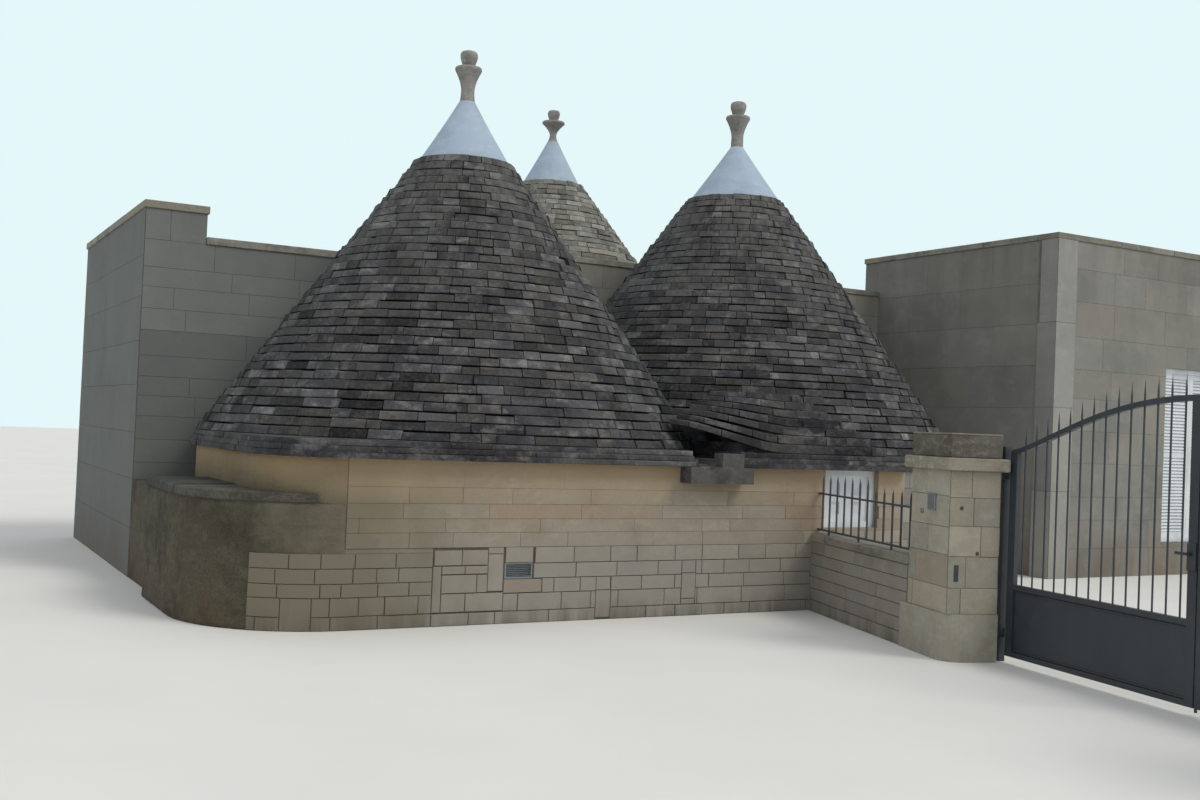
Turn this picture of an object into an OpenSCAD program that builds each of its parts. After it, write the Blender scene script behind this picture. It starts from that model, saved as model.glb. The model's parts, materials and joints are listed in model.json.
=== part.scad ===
// Trullo house: two stone cones over a curved street wall, a small third cone
// behind them, two flat-roofed wings, and the low court wall with its gate.
// Millimetres. X runs along the street wall, Y into the house, Z up.
// The origin is on the ground under the middle of the street wall's thickness,
// in line with the axis of the left cone.

/* [Trulli] */
// Radius of the left trullo, to the outer face of its round wall
left_r = 2550; // [2400:10:2700]
// Radius of the right trullo, to the outer face of its round wall
right_r = 2860; // [2700:10:3000]
// Thickness of the street wall and of the round walls
trullo_wall_t = 700; // [600:10:750]
// Height of the walls under the eaves
eaves_z = 1375; // [1250:5:1600]
// How far the two round walls run into each other
trulli_overlap = 1030; // [950:10:1100]
// Angle of the line through both axes, from the street wall, in degrees
axis_a = 14; // [12:0.5:16]
// Passage through the back of each round wall, its width
passage_w = 850; // [700:10:950]
// Passage through the back of each round wall, its height above the street
passage_h = 1250; // [1100:10:1250]

/* [Street wall] */
// From the right trullo's axis back to the right end of the street wall
street_end_in = 300; // [150:10:400]
// Radius of the round street corner
corner_r = 1130; // [1000:10:1250]
// Radius of the upper wall over the street corner
upper_corner_r = 600; // [500:10:700]
// How far the low corner wall stands out from the wall above it
corner_out = 540; // [450:10:600]
// How far the flank wall and the left wing stand out from the wall above the corner
flank_out = 440; // [350:10:500]
// Height of the low corner wall, without its coping
corner_wall_h = 1005; // [900:5:1100]
// Thickness of the corner coping
corner_coping_t = 90; // [60:1:110]
// Height of the flank wall between the corner and the left wing
flank_wall_h = 985; // [850:5:1020]
// Width of the court window
court_window_w = 690; // [550:10:750]
// Height of the court window's sill
court_sill_z = 800; // [700:4:900]
// From the right end of the street wall to the court window
court_window_in = 355; // [300:5:450]
// Width of the vent
vent_w = 263; // [200:1:300]
// Height of the vent
vent_h = 135; // [100:5:160]
// Height of the vent's sill
vent_z = 381; // [300:1:500]
// From the left trullo's axis to the vent's middle
vent_in = 418; // [300:2:600]

/* [Eaves and gutter] */
// Thickness of the eaves band, three slabs together
eaves_t = 145; // [120:5:180]
// How far the lowest slab of the eaves stands out over the street wall
eaves_out = 140; // [100:5:180]
// How far each slab steps in from the one below, along the street
eaves_step = 30; // [15:1:35]
// How far the lowest slab stands out over the round walls
ring_eaves_out = 60; // [45:1:90]
// How far each slab steps in from the one below, round the cones
ring_eaves_step = 15; // [8:1:20]
// From the left trullo's axis to the square end of its eaves
left_eaves_end = 1270; // [1150:10:1350]
// Width of the open gutter between the two eaves
gutter_gap = 545; // [450:5:650]
// Width of the stone spout under the gutter
spout_w = 705; // [620:5:780]
// Height of the stone spout
spout_h = 150; // [120:5:180]
// How far the spout stands out from the wall
spout_out = 190; // [140:5:260]
// Width of the channel in the spout
spout_channel_w = 200; // [150:10:260]
// Thickness of the gutter's bed over the wall
gutter_bed_t = 70; // [50:5:90]
// Side of the stone block at the mouth of the gutter
gutter_block_w = 245; // [200:5:300]
// Courses in front of the right cone, from the eaves up
apron_courses = 7; // [5:1:8]
// Height of the stone block at the mouth of the gutter
gutter_block_h = 130; // [110:5:140]

/* [Cones] */
// Height of one course of roof slabs
course_h = 88; // [88:1:120]
// Slope of the left cone from the level, in degrees
left_pitch = 54.5; // [53.5:0.1:55]
// Height of the left cone's stonework
left_cap_z = 4413; // [4320:1:4480]
// Slope of the right cone from the level, in degrees
right_pitch = 54.4; // [53:0.1:54.8]
// Height of the right cone's stonework
right_cap_z = 4693; // [4600:1:4760]
// Slope of the rear cone from the level, in degrees
rear_pitch = 52.3; // [51.5:0.1:53]
// Height of the rear cone's stonework
rear_cap_z = 5403; // [5320:1:5470]
// Thickness of the rear cone where it stands on the roof
rear_shell_t = 480; // [420:5:540]
// Stone left over the top of each vault
vault_crown_t = 420; // [350:10:500]
// Height of the left cap
left_cap_h = 662; // [600:1:720]
// Height of the right cap
right_cap_h = 708; // [640:1:770]
// Height of the rear cap
rear_cap_h = 662; // [600:1:720]
// Radius at the top of the caps
cap_top_r = 82; // [75:1:95]
// Radius of a finial's neck
neck_r = 70; // [60:1:78]
// Radius of a finial's rim
rim_r = 142; // [125:1:155]
// Height of a finial's flared foot
flare_h = 364; // [310:1:420]
// Radius of a finial's knob
knob_r = 93; // [80:1:105]
// Height of a finial's knob
knob_h = 178; // [150:1:200]
// Size of the right finial against the left one
right_finial_k = 1.1; // [1:0.01:1.15]
// Radius of the rear finial's slim neck
rear_neck_r = 50; // [42:1:60]
// Radius of the rear finial's wide rim
rear_rim_r = 172; // [150:1:185]
// Height of the rear finial's flared foot
rear_flare_h = 314; // [270:1:350]

/* [Left wing] */
// From the street wall's face back to the left wing
left_wing_set = 3630; // [3550:10:3750]
// Length of the left wing's side wall
left_wing_l = 4180; // [3900:10:4400]
// Width of the left wing
left_wing_w = 2270; // [2100:10:2350]
// Height of the left wing's low coping
left_low_z = 3500; // [3400:10:3650]
// Height of the left wing's high coping
left_high_z = 3815; // [3700:5:3950]
// Length of the high coping on the front
left_return = 605; // [500:10:800]

/* [Rear block and right wing] */
// Thickness of the wing walls
wing_wall_t = 300; // [250:10:350]
// Depth of the rear block
rear_block_d = 5080; // [4800:10:5300]
// From the left cone's axis to the left end of the rear block
rear_left_dx = 1150; // [1000:10:1250]
// Height of the rear block's coping
rear_block_z = 3930; // [3850:10:4100]
// Rear cone's axis, to the right of the left cone's
rear_dx = 3560; // [3400:10:3700]
// From the front parapet back to the rear cone
rear_front_gap = 500; // [400:5:560]
// From the rear cone back to the rear parapet
rear_back_gap = 130; // [90:5:200]
// From the right trullo's axis to the right wing
right_wing_dx = 3576; // [3400:4:3800]
// Width of the right wing
right_wing_w = 5750; // [5500:10:6000]
// From the street wall's face back to the right wing
right_wing_set = 1455; // [1300:5:1600]
// Height of the right wing's coping
right_wing_z = 4460; // [4300:10:4600]
// From the top of a coping down to the flat roof
parapet_h = 400; // [350:10:500]
// Thickness of the flat roofs
roof_t = 250; // [200:10:300]
// Thickness of the copings
coping_t = 80; // [60:5:110]
// How far the copings stand out
coping_out = 25; // [20:5:40]
// Width of the corner pilaster on the wing's front
pilaster_w = 352; // [300:2:420]
// Width of the corner pilaster on the wing's side
pilaster_side_w = 280; // [240:2:340]
// How far the corner pilaster stands out
pilaster_out = 22; // [15:1:30]
// Width of a tall window
window_w = 1320; // [1100:10:1400]
// Height of a tall window
window_h = 2386; // [2200:2:2400]
// Height of a tall window's sill
window_sill_z = 450; // [350:10:500]
// Width of the doors, inside and at the back
door_w = 950; // [850:10:1000]
// Height of the doors, inside and at the back
door_h = 2150; // [2000:10:2200]
// Width of a window frame's bars
frame_w = 60; // [50:1:80]
// Depth of a window frame
frame_d = 70; // [60:1:90]
// Thickness of a shutter
shutter_t = 36; // [30:1:45]
// From the wall's face in to a shutter
reveal = 60; // [40:5:90]

/* [Court wall and gate] */
// Angle between the court wall and a line square to the street wall, in degrees
court_a = 16.4; // [14:0.2:18]
// From the left trullo's axis to the court wall's corner
court_dx = 2760; // [2700:2:2850]
// Length of the court wall, from the street wall to the pier
court_wall_l = 2060; // [1900:10:2200]
// Thickness of the court wall
court_wall_t = 300; // [250:10:350]
// Height of the court wall
court_wall_h = 750; // [650:5:800]
// Side of a pier, across the court wall
pier_w = 430; // [420:5:500]
// Side of a pier, along the court wall
pier_l = 622; // [580:2:680]
// Height of a pier's shaft
pier_h = 1480; // [1350:10:1550]
// Height of a pier's plinth
plinth_h = 370; // [300:10:420]
// How far a plinth stands out
plinth_out = 25; // [15:1:35]
// Height of the band under a pier's top block
pier_band_h = 101; // [85:1:130]
// How far the band stands out
pier_band_out = 55; // [40:1:70]
// Height of a pier's top block
pier_block_h = 191; // [150:2:220]
// Height of the railing's top rail
rail_top_z = 1150; // [1050:1:1200]
// Height of the railing's bottom rail
rail_low_z = 800; // [780:1:850]
// Bars in the railing
rail_bars = 12; // [8:1:16]
// From the street side of the court wall to the railing's middle
rail_in = 80; // [60:5:150]
// Side of a railing bar
rail_bar_w = 14; // [10:1:18]
// Angle between the gate and a line square to the street wall, in degrees
gate_a = 9; // [7:0.2:12]
// Length of one gate leaf, from its hinge axis to the meeting line
leaf_l = 1875; // [1700:5:2000]
// Height of the leaf at its hinge
leaf_low_z = 1650; // [1500:10:1750]
// Height of the leaf at the meeting line
leaf_high_z = 2075; // [1900:4:2150]
// Height of the spikes over the gate's curved rail
spike_h = 150; // [100:5:180]
// Height of the leaf's middle rail
leaf_mid_z = 595; // [550:5:700]
// Height of the leaf's bottom edge
leaf_foot_z = 56; // [45:1:90]
// Side of the leaf's frame tubes
leaf_tube = 40; // [35:1:50]
// Width of the leaf's two upright end tubes
leaf_stile_w = 75; // [50:1:90]
// Side of a bar in the gate
gate_bar_w = 16; // [12:1:20]
// Bars in one gate leaf
gate_bars = 14; // [10:1:18]
// Side of the steel gate post
post_w = 50; // [45:1:60]
// Radius of a hinge pin
pin_r = 9; // [7:0.5:11]

/* [Hidden] */
$fn = 240;

// Clearances and cutters
seat_gap = 0.3;     // between a curved face and the wall cut to fit it
pin_gap = 0.3;      // round a hinge pin
butt_gap = 0.05;    // between flat faces that rounding could push into each other
cut = 20;           // how far a cutter runs past the face it opens
far = 60000;        // a size beyond the whole house

// Street wall
wall_f = -trullo_wall_t / 2;
wall_b = trullo_wall_t / 2;
left_c = [0, wall_f + left_r];
axis_gap = left_r + right_r - trulli_overlap;
right_c = left_c + axis_gap * [cos(axis_a), sin(axis_a)];
left_room_r = left_r - trullo_wall_t;
right_room_r = right_r - trullo_wall_t;
upper_left_x = -left_r;
left_x = upper_left_x - flank_out;
corner_left_x = upper_left_x - corner_out;
corner_x = corner_left_x + corner_r;
joint_y = left_c[1] - 300;          // upright joint between corner and flank
street_end_x = right_c[0] - street_end_in;
court_window_x = street_end_x - court_window_in - court_window_w;

// The two round walls meet on the upright plane through the crossings of their circles
party_d = (pow(axis_gap, 2) + pow(left_r, 2) - pow(right_r, 2)) / (2 * axis_gap);

// Eaves and cones
eaves_slabs = 3;
eaves_top = eaves_z + eaves_t;
function eaves_slab_z(i) = eaves_z + eaves_t * i / eaves_slabs;
function eaves_slab_out(i) = eaves_out - eaves_step * i;
function ring_slab_out(i) = ring_eaves_out - ring_eaves_step * i;
right_eaves_x = left_eaves_end + gutter_gap;
spout_x = left_eaves_end + gutter_gap / 2;
channel_x = spout_x - spout_channel_w / 2;
left_cone_r = left_r + ring_slab_out(eaves_slabs - 1);
right_cone_r = right_r + ring_slab_out(eaves_slabs - 1);
left_top_r = left_cone_r - (left_cap_z - eaves_top) / tan(left_pitch);
right_top_r = right_cone_r - (right_cap_z - eaves_top) / tan(right_pitch);

// Wings
left_wing_y = wall_f + left_wing_set;
left_wing_back = left_wing_y + left_wing_l;
left_wing_x = left_x + left_wing_w;
rear_block_y = left_c[1] + left_r - wing_wall_t;
rear_left_x = left_c[0] + rear_left_dx;
rear_block_back = rear_block_y + rear_block_d;
rear_cone_r = (rear_block_d - 2 * wing_wall_t - rear_front_gap - rear_back_gap) / 2;
rear_room_r = rear_cone_r - rear_shell_t;
rear_c = [rear_dx, rear_block_y + wing_wall_t + rear_front_gap + rear_cone_r];
rear_base_z = rear_block_z - parapet_h;
rear_top_r = rear_cone_r - (rear_cap_z - rear_base_z) / tan(rear_pitch);
right_wing_x = right_c[0] + right_wing_dx;
right_end_x = right_wing_x + right_wing_w;
right_wing_y = wall_f + right_wing_set;
inner_y = rear_block_y + wing_wall_t;
wing_window_x = right_wing_x + right_wing_w / 2;
back_windows = [right_wing_x + right_wing_w / 2, right_wing_x - right_wing_w / 2];
back_door_x = rear_left_x + wing_wall_t + door_w;
end_window_y = (right_wing_y + rear_block_y) / 2;

// Court wall and gate. Court places are [along the wall, across it, up].
pier_end = court_wall_l + pier_l;
post_in = 60;                       // from the pier's end back to the post's middle
post_c = [pier_end - post_in, pier_w + pier_band_out + post_w / 2];
hinge_out = post_w / 2 + 30;        // from the post's middle to the hinge axis
tie_t = 8;                          // thickness of the ties from post to pier
tie_w = 30;
leaf_gap = 10;                      // between the two leaves
knuckle_h = 60;
knuckle_r = pin_r + 8;
bracket_t = 12;
hinge_zs = [leaf_foot_z + 150, pier_h - 40];

module at_court() { translate([court_dx, wall_f, 0]) rotate([0, 0, -court_a - 90]) children(); }
function court_point(p) = [
    court_dx - p[0] * sin(court_a) + p[1] * cos(court_a),
    wall_f - p[0] * cos(court_a) - p[1] * sin(court_a)
];
post_xy = court_point(post_c);
gate_dir = [-sin(gate_a), -cos(gate_a)];
hinge_xy = post_xy + hinge_out * gate_dir;
// The far hinge stands opposite the near one, across both leaves
far_hinge_xy = hinge_xy + 2 * leaf_l * gate_dir;

module block(x, y, z) {
    translate([x[0], y[0], z[0]]) cube([x[1] - x[0], y[1] - y[0], z[1] - z[0]]);
}

// Everything on the right trullo's side of the party plane
module beyond_party(gap = 0) {
    translate([left_c[0], left_c[1], -cut]) rotate([0, 0, axis_a])
        translate([party_d + gap, -far / 2, 0]) cube([far, far, far]);
}
module before_party_plan() {
    translate(left_c) rotate(axis_a) translate([party_d - far, -far / 2]) square([far, far]);
}
module before_party() {
    translate([left_c[0], left_c[1], -cut]) rotate([0, 0, axis_a])
        translate([party_d - far, -far / 2, 0]) cube([far, far, far]);
}

// Outline with a straight street face, a straight left face and one round corner
module corner_plan(x, y, r, back) {
    intersection() {
        translate([x + r, y + r]) circle(r = r);
        translate([x, y]) square([2 * r, back - y]);
    }
    translate([x + r, y]) square([-x - r, r + 1]);
    translate([x, y + r]) square([-x, back - y - r]);
}
module left_room(z0, z1) { translate([left_c[0], left_c[1], z0]) cylinder(r = left_room_r, h = z1 - z0); }
module right_room(z0, z1) { translate([right_c[0], right_c[1], z0]) cylinder(r = right_room_r, h = z1 - z0); }

// Courses of roof slabs that fit a cone, and the height of each
function course_count(h) = floor(h / course_h);
function course_height(h) = h / course_count(h);

// Space taken by a trullo, with its eaves and its cone, for the walls that stand against it
module trullo_space(c, r, cone_r, top_r, cap_z) {
    translate([c[0], c[1], -cut]) cylinder(r = r + seat_gap, h = eaves_z + cut);
    for (i = [0:eaves_slabs - 1])
        translate([c[0], c[1], eaves_slab_z(i) - seat_gap])
            cylinder(r = r + ring_slab_out(i) + seat_gap, h = eaves_t / eaves_slabs + 2 * seat_gap);
    translate([c[0], c[1], eaves_top])
        cylinder(r1 = cone_r + seat_gap, r2 = top_r + seat_gap, h = cap_z - eaves_top);
}
module left_space() { trullo_space(left_c, left_r, left_cone_r, left_top_r, left_cap_z); }
module right_space() { trullo_space(right_c, right_r, right_cone_r, right_top_r, right_cap_z); }

// Passages from the two round rooms into the rear block
module passages(z0, z1) {
    for (c = [left_c, right_c])
        block([c[0] - passage_w / 2, c[0] + passage_w / 2],
              [c[1], c[1] + right_r + 2 * trullo_wall_t], [z0, z1]);
}

// Street wall, with the court window open up to the eaves
module front_wall() {
    color("tan") difference() {
        block([corner_x, street_end_x], [wall_f, wall_b], [0, eaves_z]);
        court_window_cut();
        block([-vent_in - vent_w / 2, -vent_in + vent_w / 2], [wall_f - cut, wall_f + vent_depth],
              [vent_z, vent_z + vent_h]);
    }
}
vent_depth = 45;
module court_window_cut() {
    block([court_window_x, court_window_x + court_window_w],
          [wall_f - cut, right_c[1]], [court_sill_z, eaves_z + cut]);
}

// Masonry under the round street corner, up to the ledge
module corner_wall() {
    color("peru") difference() {
        linear_extrude(corner_wall_h) intersection() {
            corner_plan(corner_left_x, wall_f, corner_r, joint_y);
            translate([-far, wall_f - cut]) square([far + corner_x, far]);
        }
        left_room(-cut, eaves_z);
    }
    color("peru") difference() {
        linear_extrude(corner_wall_h)
            translate([corner_x, wall_b]) square([-corner_x, joint_y - wall_b]);
        left_room(-cut, eaves_z);
    }
}

// The wall between the ledge and the eaves
module left_flank() {
    color("goldenrod") difference() {
        translate([0, 0, corner_wall_h]) linear_extrude(eaves_z - corner_wall_h)
            corner_plan(upper_left_x, wall_f, upper_corner_r, joint_y);
        block([corner_x, cut], [wall_f - cut, wall_b], [0, eaves_z + cut]);
        left_room(0, eaves_z + cut);
    }
}

// Stone ledge round the street corner
module corner_coping() {
    ledge_out = 25;
    ledge_end_x = corner_x - 240;
    color("darkgray") translate([0, 0, corner_wall_h]) linear_extrude(corner_coping_t)
        intersection() {
            difference() {
                corner_plan(corner_left_x - ledge_out, wall_f - ledge_out,
                            corner_r + ledge_out, joint_y);
                corner_plan(upper_left_x - seat_gap, wall_f - seat_gap,
                            upper_corner_r + seat_gap, joint_y + cut);
            }
            translate([-far, wall_f - far / 2]) square([far + ledge_end_x, far]);
        }
}

// Low wall between the corner and the left wing
module flank_wall() {
    color("peru") linear_extrude(flank_wall_h) difference() {
        translate([left_x, joint_y]) square([-left_x, left_wing_y - joint_y]);
        translate([upper_left_x - seat_gap, joint_y - cut])
            square([-upper_left_x + cut, left_c[1] - joint_y + cut]);
        translate(left_c) circle(r = left_r + seat_gap);
        translate([upper_left_x / 2, left_c[1]]) square([-left_x, far]);
    }
}

// Ground between the two trulli and the street wall, filled with masonry
module valley_plan(front) {
    polygon([
        [left_c[0], front],
        [street_end_x, front],
        [street_end_x, left_c[1] + (street_end_x - left_c[0]) * tan(axis_a)],
        [left_c[0], left_c[1]]
    ]);
}
module valley_masonry() {
    color("tan") difference() {
        linear_extrude(eaves_z) valley_plan(wall_b);
        left_room(-cut, eaves_z + cut);
        right_room(-cut, eaves_z + cut);
        court_window_cut();
    }
}

// Round wall of the left trullo, behind the corner and the valley, either side of its passage
module left_ring() {
    difference() {
        linear_extrude(eaves_z) difference() {
            union() {
                translate(left_c) circle(r = left_r);
                translate([upper_left_x, joint_y]) square([left_r, left_c[1] - joint_y]);
            }
            valley_plan(wall_f - cut);
            translate([-far, -far]) square([far, far + joint_y]);
        }
        left_room(-cut, eaves_z + cut);
        beyond_party();
    }
}
module left_trullo_wall() {
    color("tan") difference() {
        left_ring();
        passages(-cut, eaves_z + cut);
    }
}

// Round wall of the right trullo, in a rear part and a part towards the court
module right_ring() {
    difference() {
        linear_extrude(eaves_z) difference() {
            translate(right_c) circle(r = right_r);
            valley_plan(wall_f - cut);
        }
        right_room(-cut, eaves_z + cut);
        before_party();
    }
}
court_split_y = right_c[1] - 40;
module court_half() { translate([street_end_x - 100, court_split_y - far, -cut]) cube([far, far, far]); }
module right_trullo_wall() {
    color("tan") difference() {
        right_ring();
        court_half();
        passages(-cut, eaves_z + cut);
    }
}
module right_trullo_court_wall() {
    color("tan") intersection() {
        right_ring();
        court_half();
    }
}

// Stone over the two passages, and the wall over the two inner doorways
module doorway_lintels() {
    color("tan") intersection() {
        union() {
            left_ring();
            right_ring();
        }
        passages(passage_h, eaves_z);
    }
    color("wheat") {
        block([rear_left_x, rear_left_x + wing_wall_t], [inner_y, inner_y + door_w],
              [door_h, rear_block_z - coping_t]);
        block([right_wing_x + wing_wall_t, right_wing_x + wing_wall_t + door_w],
              [rear_block_y, inner_y], [door_h, right_wing_z - coping_t]);
    }
}

// Three thick slabs under each cone, straight along the street, each stepped in from the last
module left_eaves() {
    color("dimgray") difference() {
        for (i = [0:eaves_slabs - 1]) {
            out = eaves_slab_out(i);
            ring_out = ring_slab_out(i);
            translate([0, 0, eaves_z]) linear_extrude(eaves_slab_z(i + 1) - eaves_z) {
                corner_plan(upper_left_x - ring_out, wall_f - out,
                            upper_corner_r + ring_out, left_c[1]);
                translate([-cut, wall_f - out])
                    square([left_eaves_end + cut, left_c[1] - wall_f + out]);
                translate(left_c) circle(r = left_r + ring_out);
            }
        }
        left_room(eaves_z - cut, eaves_top + cut);
        beyond_party();
    }
}
module right_eaves() {
    color("dimgray") difference() {
        for (i = [0:eaves_slabs - 1])
            translate([0, 0, eaves_z]) linear_extrude(eaves_slab_z(i + 1) - eaves_z) {
                difference() {
                    translate(right_c) circle(r = right_r + ring_slab_out(i));
                    before_party_plan();
                }
                translate([right_eaves_x, wall_f - eaves_slab_out(i)])
                    square([street_end_x - right_eaves_x,
                            right_c[1] - right_room_r / 2 - wall_f + eaves_slab_out(i)]);
            }
        right_room(eaves_z - cut, eaves_top + cut);
        left_side_space();
    }
}

// Courses in front of the right cone, which carry its slope down to the straight eaves.
// They set back evenly until they meet the face of the cone.
module apron_plan(i) {
    r = 420;
    front = wall_f - ring_slab_out(eaves_slabs - 1) + apron_step * i;
    x0 = right_eaves_x + ring_eaves_out + apron_turn * i;
    x1 = street_end_x - ring_eaves_out - apron_turn * i / 2;
    translate([x0 + r, front + r]) circle(r = r, $fn = 40);
    translate([x1 - r, front + r]) circle(r = r, $fn = 40);
    translate([x0 + r, front]) square([x1 - x0 - 2 * r, r]);
    translate([x0, front + r]) square([x1 - x0, right_c[1] - right_room_r - front - r]);
}
module right_apron() {
    step_h = course_height(right_cap_z - eaves_top);
    color("dimgray") difference() {
        for (i = [0:apron_courses - 1])
            translate([0, 0, eaves_top]) linear_extrude(step_h * (i + 1)) apron_plan(i);
        right_space();
        left_side_space();
    }
}
// The left trullo's space, on its own side of the party plane
module left_side_space() {
    intersection() {
        left_space();
        before_party();
    }
}

// Stone spout at the foot of the valley, the bed of the gutter, and the block at its mouth
module gutter_stones() {
    color("slategray") difference() {
        union() {
            block([spout_x - spout_w / 2, spout_x + spout_w / 2],
                  [wall_f - spout_out, wall_f], [eaves_z - spout_h, eaves_z]);
            difference() {
                translate([0, 0, eaves_z - 1]) linear_extrude(gutter_bed_t + 1)
                    translate([left_eaves_end, wall_f - eaves_out / 2])
                        square([gutter_gap, left_c[1] - wall_f]);
                left_space();
                block([left_eaves_end - cut, right_eaves_x + cut], [wall_f, far], [0, eaves_z]);
            }
            block([right_eaves_x - gutter_block_w, right_eaves_x],
                  [wall_f - eaves_out, wall_f], [eaves_z - 1, eaves_z + gutter_block_h]);
        }
        translate([channel_x, wall_f - spout_out - cut, eaves_z + gutter_bed_t])
            rotate([-gutter_fall, 0, 0]) translate([0, -cut, 0]) rotate([-90, 0, 0])
                cylinder(r = spout_channel_w / 2, h = left_c[1]);
    }
}

apron_step = (right_c[1] - right_cone_r - wall_f + ring_slab_out(eaves_slabs - 1)) / apron_courses
    + course_height(right_cap_z - eaves_top) / tan(right_pitch);
apron_turn = 110;                   // how far each of these courses turns in at the gutter
gutter_fall = 2;                    // fall of the gutter's channel, in degrees

// Half outline of a cone: courses outside, a pointed vault inside
function stair(r, top_r, z, top_z) = let (n = course_count(top_z - z), h = (top_z - z) / n) [
    for (i = [0:n - 1], s = [0, 1])
        [r - (r - top_r) * (i + 1) / n, z + h * (i + s)]
];
vault_steps = 5;
function vault(r, z, crown_z) = [
    for (i = [vault_steps:-1:0]) let (t = i / vault_steps)
        [r * (1 - pow(t, 1.5)), z + (crown_z - z) * t]
];
// The facets are turned so that one of their corners lies where two cones are cut.
module cone_shell(c, r, top_r, z, top_z, room_r, facets = 84, turn = 0) {
    translate([c[0], c[1], 0]) rotate([0, 0, turn]) rotate_extrude($fn = facets) polygon(concat(
        stair(r, top_r, z, top_z),
        [[0, top_z]],
        vault(room_r, z, top_z - vault_crown_t)
    ));
}
module left_roof() {
    color("dimgray") difference() {
        cone_shell(left_c, left_cone_r, left_top_r, eaves_top, left_cap_z, left_room_r, 92);
        beyond_party();
    }
}
module right_roof() {
    color("dimgray") difference() {
        cone_shell(right_c, right_cone_r, right_top_r, eaves_top, right_cap_z, right_room_r, 80, -0.5);
        before_party();
    }
}
module rear_roof() {
    color("gray")
        cone_shell(rear_c, rear_cone_r, rear_top_r, rear_base_z, rear_cap_z, rear_room_r);
}

// Plastered caps over the last course
cap_in = 45;
module cap(c, r, z, h) {
    translate([c[0], c[1], z + butt_gap]) rotate_extrude($fn = 72) polygon([
        [0, 0], [r - cap_in, 0], [(r - cap_in + cap_top_r) / 2 - 6, h / 2],
        [cap_top_r, h - 2 * butt_gap], [0, h - 2 * butt_gap]
    ]);
}
module roof_caps() {
    color("white") {
        cap(left_c, left_top_r, left_cap_z, left_cap_h);
        cap(right_c, right_top_r, right_cap_z, right_cap_h);
        cap(rear_c, rear_top_r, rear_cap_z, rear_cap_h);
    }
}

// Finial: a waisted stone foot, a rim, and a knob that widens upwards
module finial(c, z, neck, rim, flare, k) {
    $fn = 48;
    foot_r = cap_top_r - 2;
    neck_z = 0.35 * flare;
    lip = 30;
    translate([c[0], c[1], z]) {
        rotate_extrude() polygon(concat(
            [[0, 0], [foot_r, 0]],
            [for (i = [1:8]) let (t = i / 8)
                [neck + (foot_r - neck) * pow(1 - t, 2), neck_z * t]],
            [for (i = [1:8]) let (t = i / 8)
                [neck + (rim - neck) * pow(t, 1.6), neck_z + (flare - neck_z - lip) * t]],
            [[rim - 8, flare], [0, flare]]
        ));
        translate([0, 0, flare]) rotate_extrude() polygon([
            for (p = [[0, 0], [0.62, 0], [0.76, 0.2], [0.93, 0.48], [1, 0.7], [0.94, 0.86],
                      [0.78, 0.96], [0.5, 1], [0, 1]])
                [p[0] * knob_r * k, p[1] * knob_h * k]
        ]);
    }
}
module finials() {
    color("rosybrown") {
        k = right_finial_k;
        finial(left_c, left_cap_z + left_cap_h, neck_r, rim_r, flare_h, 1);
        finial(right_c, right_cap_z + right_cap_h, neck_r * k, rim_r * k, flare_h * k, k);
        finial(rear_c, rear_cap_z + rear_cap_h, rear_neck_r, rear_rim_r, rear_flare_h, 1);
    }
}

// Left wing, which stands against the flank of the left trullo
module left_wing_front_wall() {
    color("wheat") difference() {
        union() {
            block([left_x, left_wing_x], [left_wing_y, left_wing_y + wing_wall_t],
                  [0, left_low_z - coping_t]);
            block([left_x, left_x + left_return], [left_wing_y, left_wing_y + wing_wall_t],
                  [0, left_high_z - coping_t]);
        }
        left_space();
    }
}
module left_wing_side_walls() {
    top = left_low_z - coping_t;
    color("wheat") {
        block([left_x, left_x + wing_wall_t], [left_wing_y + wing_wall_t, left_wing_back],
              [0, left_high_z - coping_t]);
        difference() {
            union() {
                block([left_wing_x - wing_wall_t, left_wing_x],
                      [left_wing_y + wing_wall_t, inner_y], [0, top]);
                block([left_wing_x - wing_wall_t, rear_left_x], [rear_block_y, inner_y], [0, top]);
            }
            left_space();
            passages(-cut, passage_h);
        }
    }
}
module left_wing_rear_wall() {
    color("wheat") block([left_x + wing_wall_t, rear_left_x],
        [left_wing_back - wing_wall_t, left_wing_back], [0, left_low_z - coping_t]);
}
module left_wing_roof() {
    top = left_low_z - parapet_h;
    color("lightgray") difference() {
        union() {
            block([left_x + wing_wall_t, left_wing_x - wing_wall_t],
                  [left_wing_y + wing_wall_t, left_wing_back - wing_wall_t], [top - roof_t, top]);
            block([left_x + wing_wall_t, rear_left_x],
                  [inner_y, left_wing_back - wing_wall_t], [top - roof_t, top]);
        }
        left_space();
    }
}
module left_wing_coping() {
    o = coping_out;
    y0 = left_wing_y;
    t = wing_wall_t;
    color("gainsboro") {
        translate([0, 0, left_high_z - coping_t]) linear_extrude(coping_t) union() {
            translate([left_x - o, y0 - o]) square([left_return + 2 * o, t + 2 * o]);
            translate([left_x - o, y0 - o]) square([t + 2 * o, left_wing_l + 2 * o]);
        }
        translate([0, 0, left_low_z - coping_t]) difference() {
            linear_extrude(coping_t) union() {
                translate([left_x + left_return, y0 - o])
                    square([left_wing_w - left_return + o, t + 2 * o]);
                translate([left_wing_x - t - o, y0 - o]) square([t + 2 * o, inner_y - y0 + 2 * o]);
                translate([left_wing_x - t - o, rear_block_y - o])
                    square([rear_left_x - left_wing_x + t + o, t + 2 * o]);
            }
            left_space_at(left_low_z - coping_t);
        }
        translate([0, 0, left_low_z - coping_t]) linear_extrude(coping_t)
            translate([left_x + t, left_wing_back - t - o])
                square([rear_left_x - left_x - t, t + 2 * o]);
    }
}
module left_space_at(z) { translate([0, 0, -z]) left_space(); }

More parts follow.
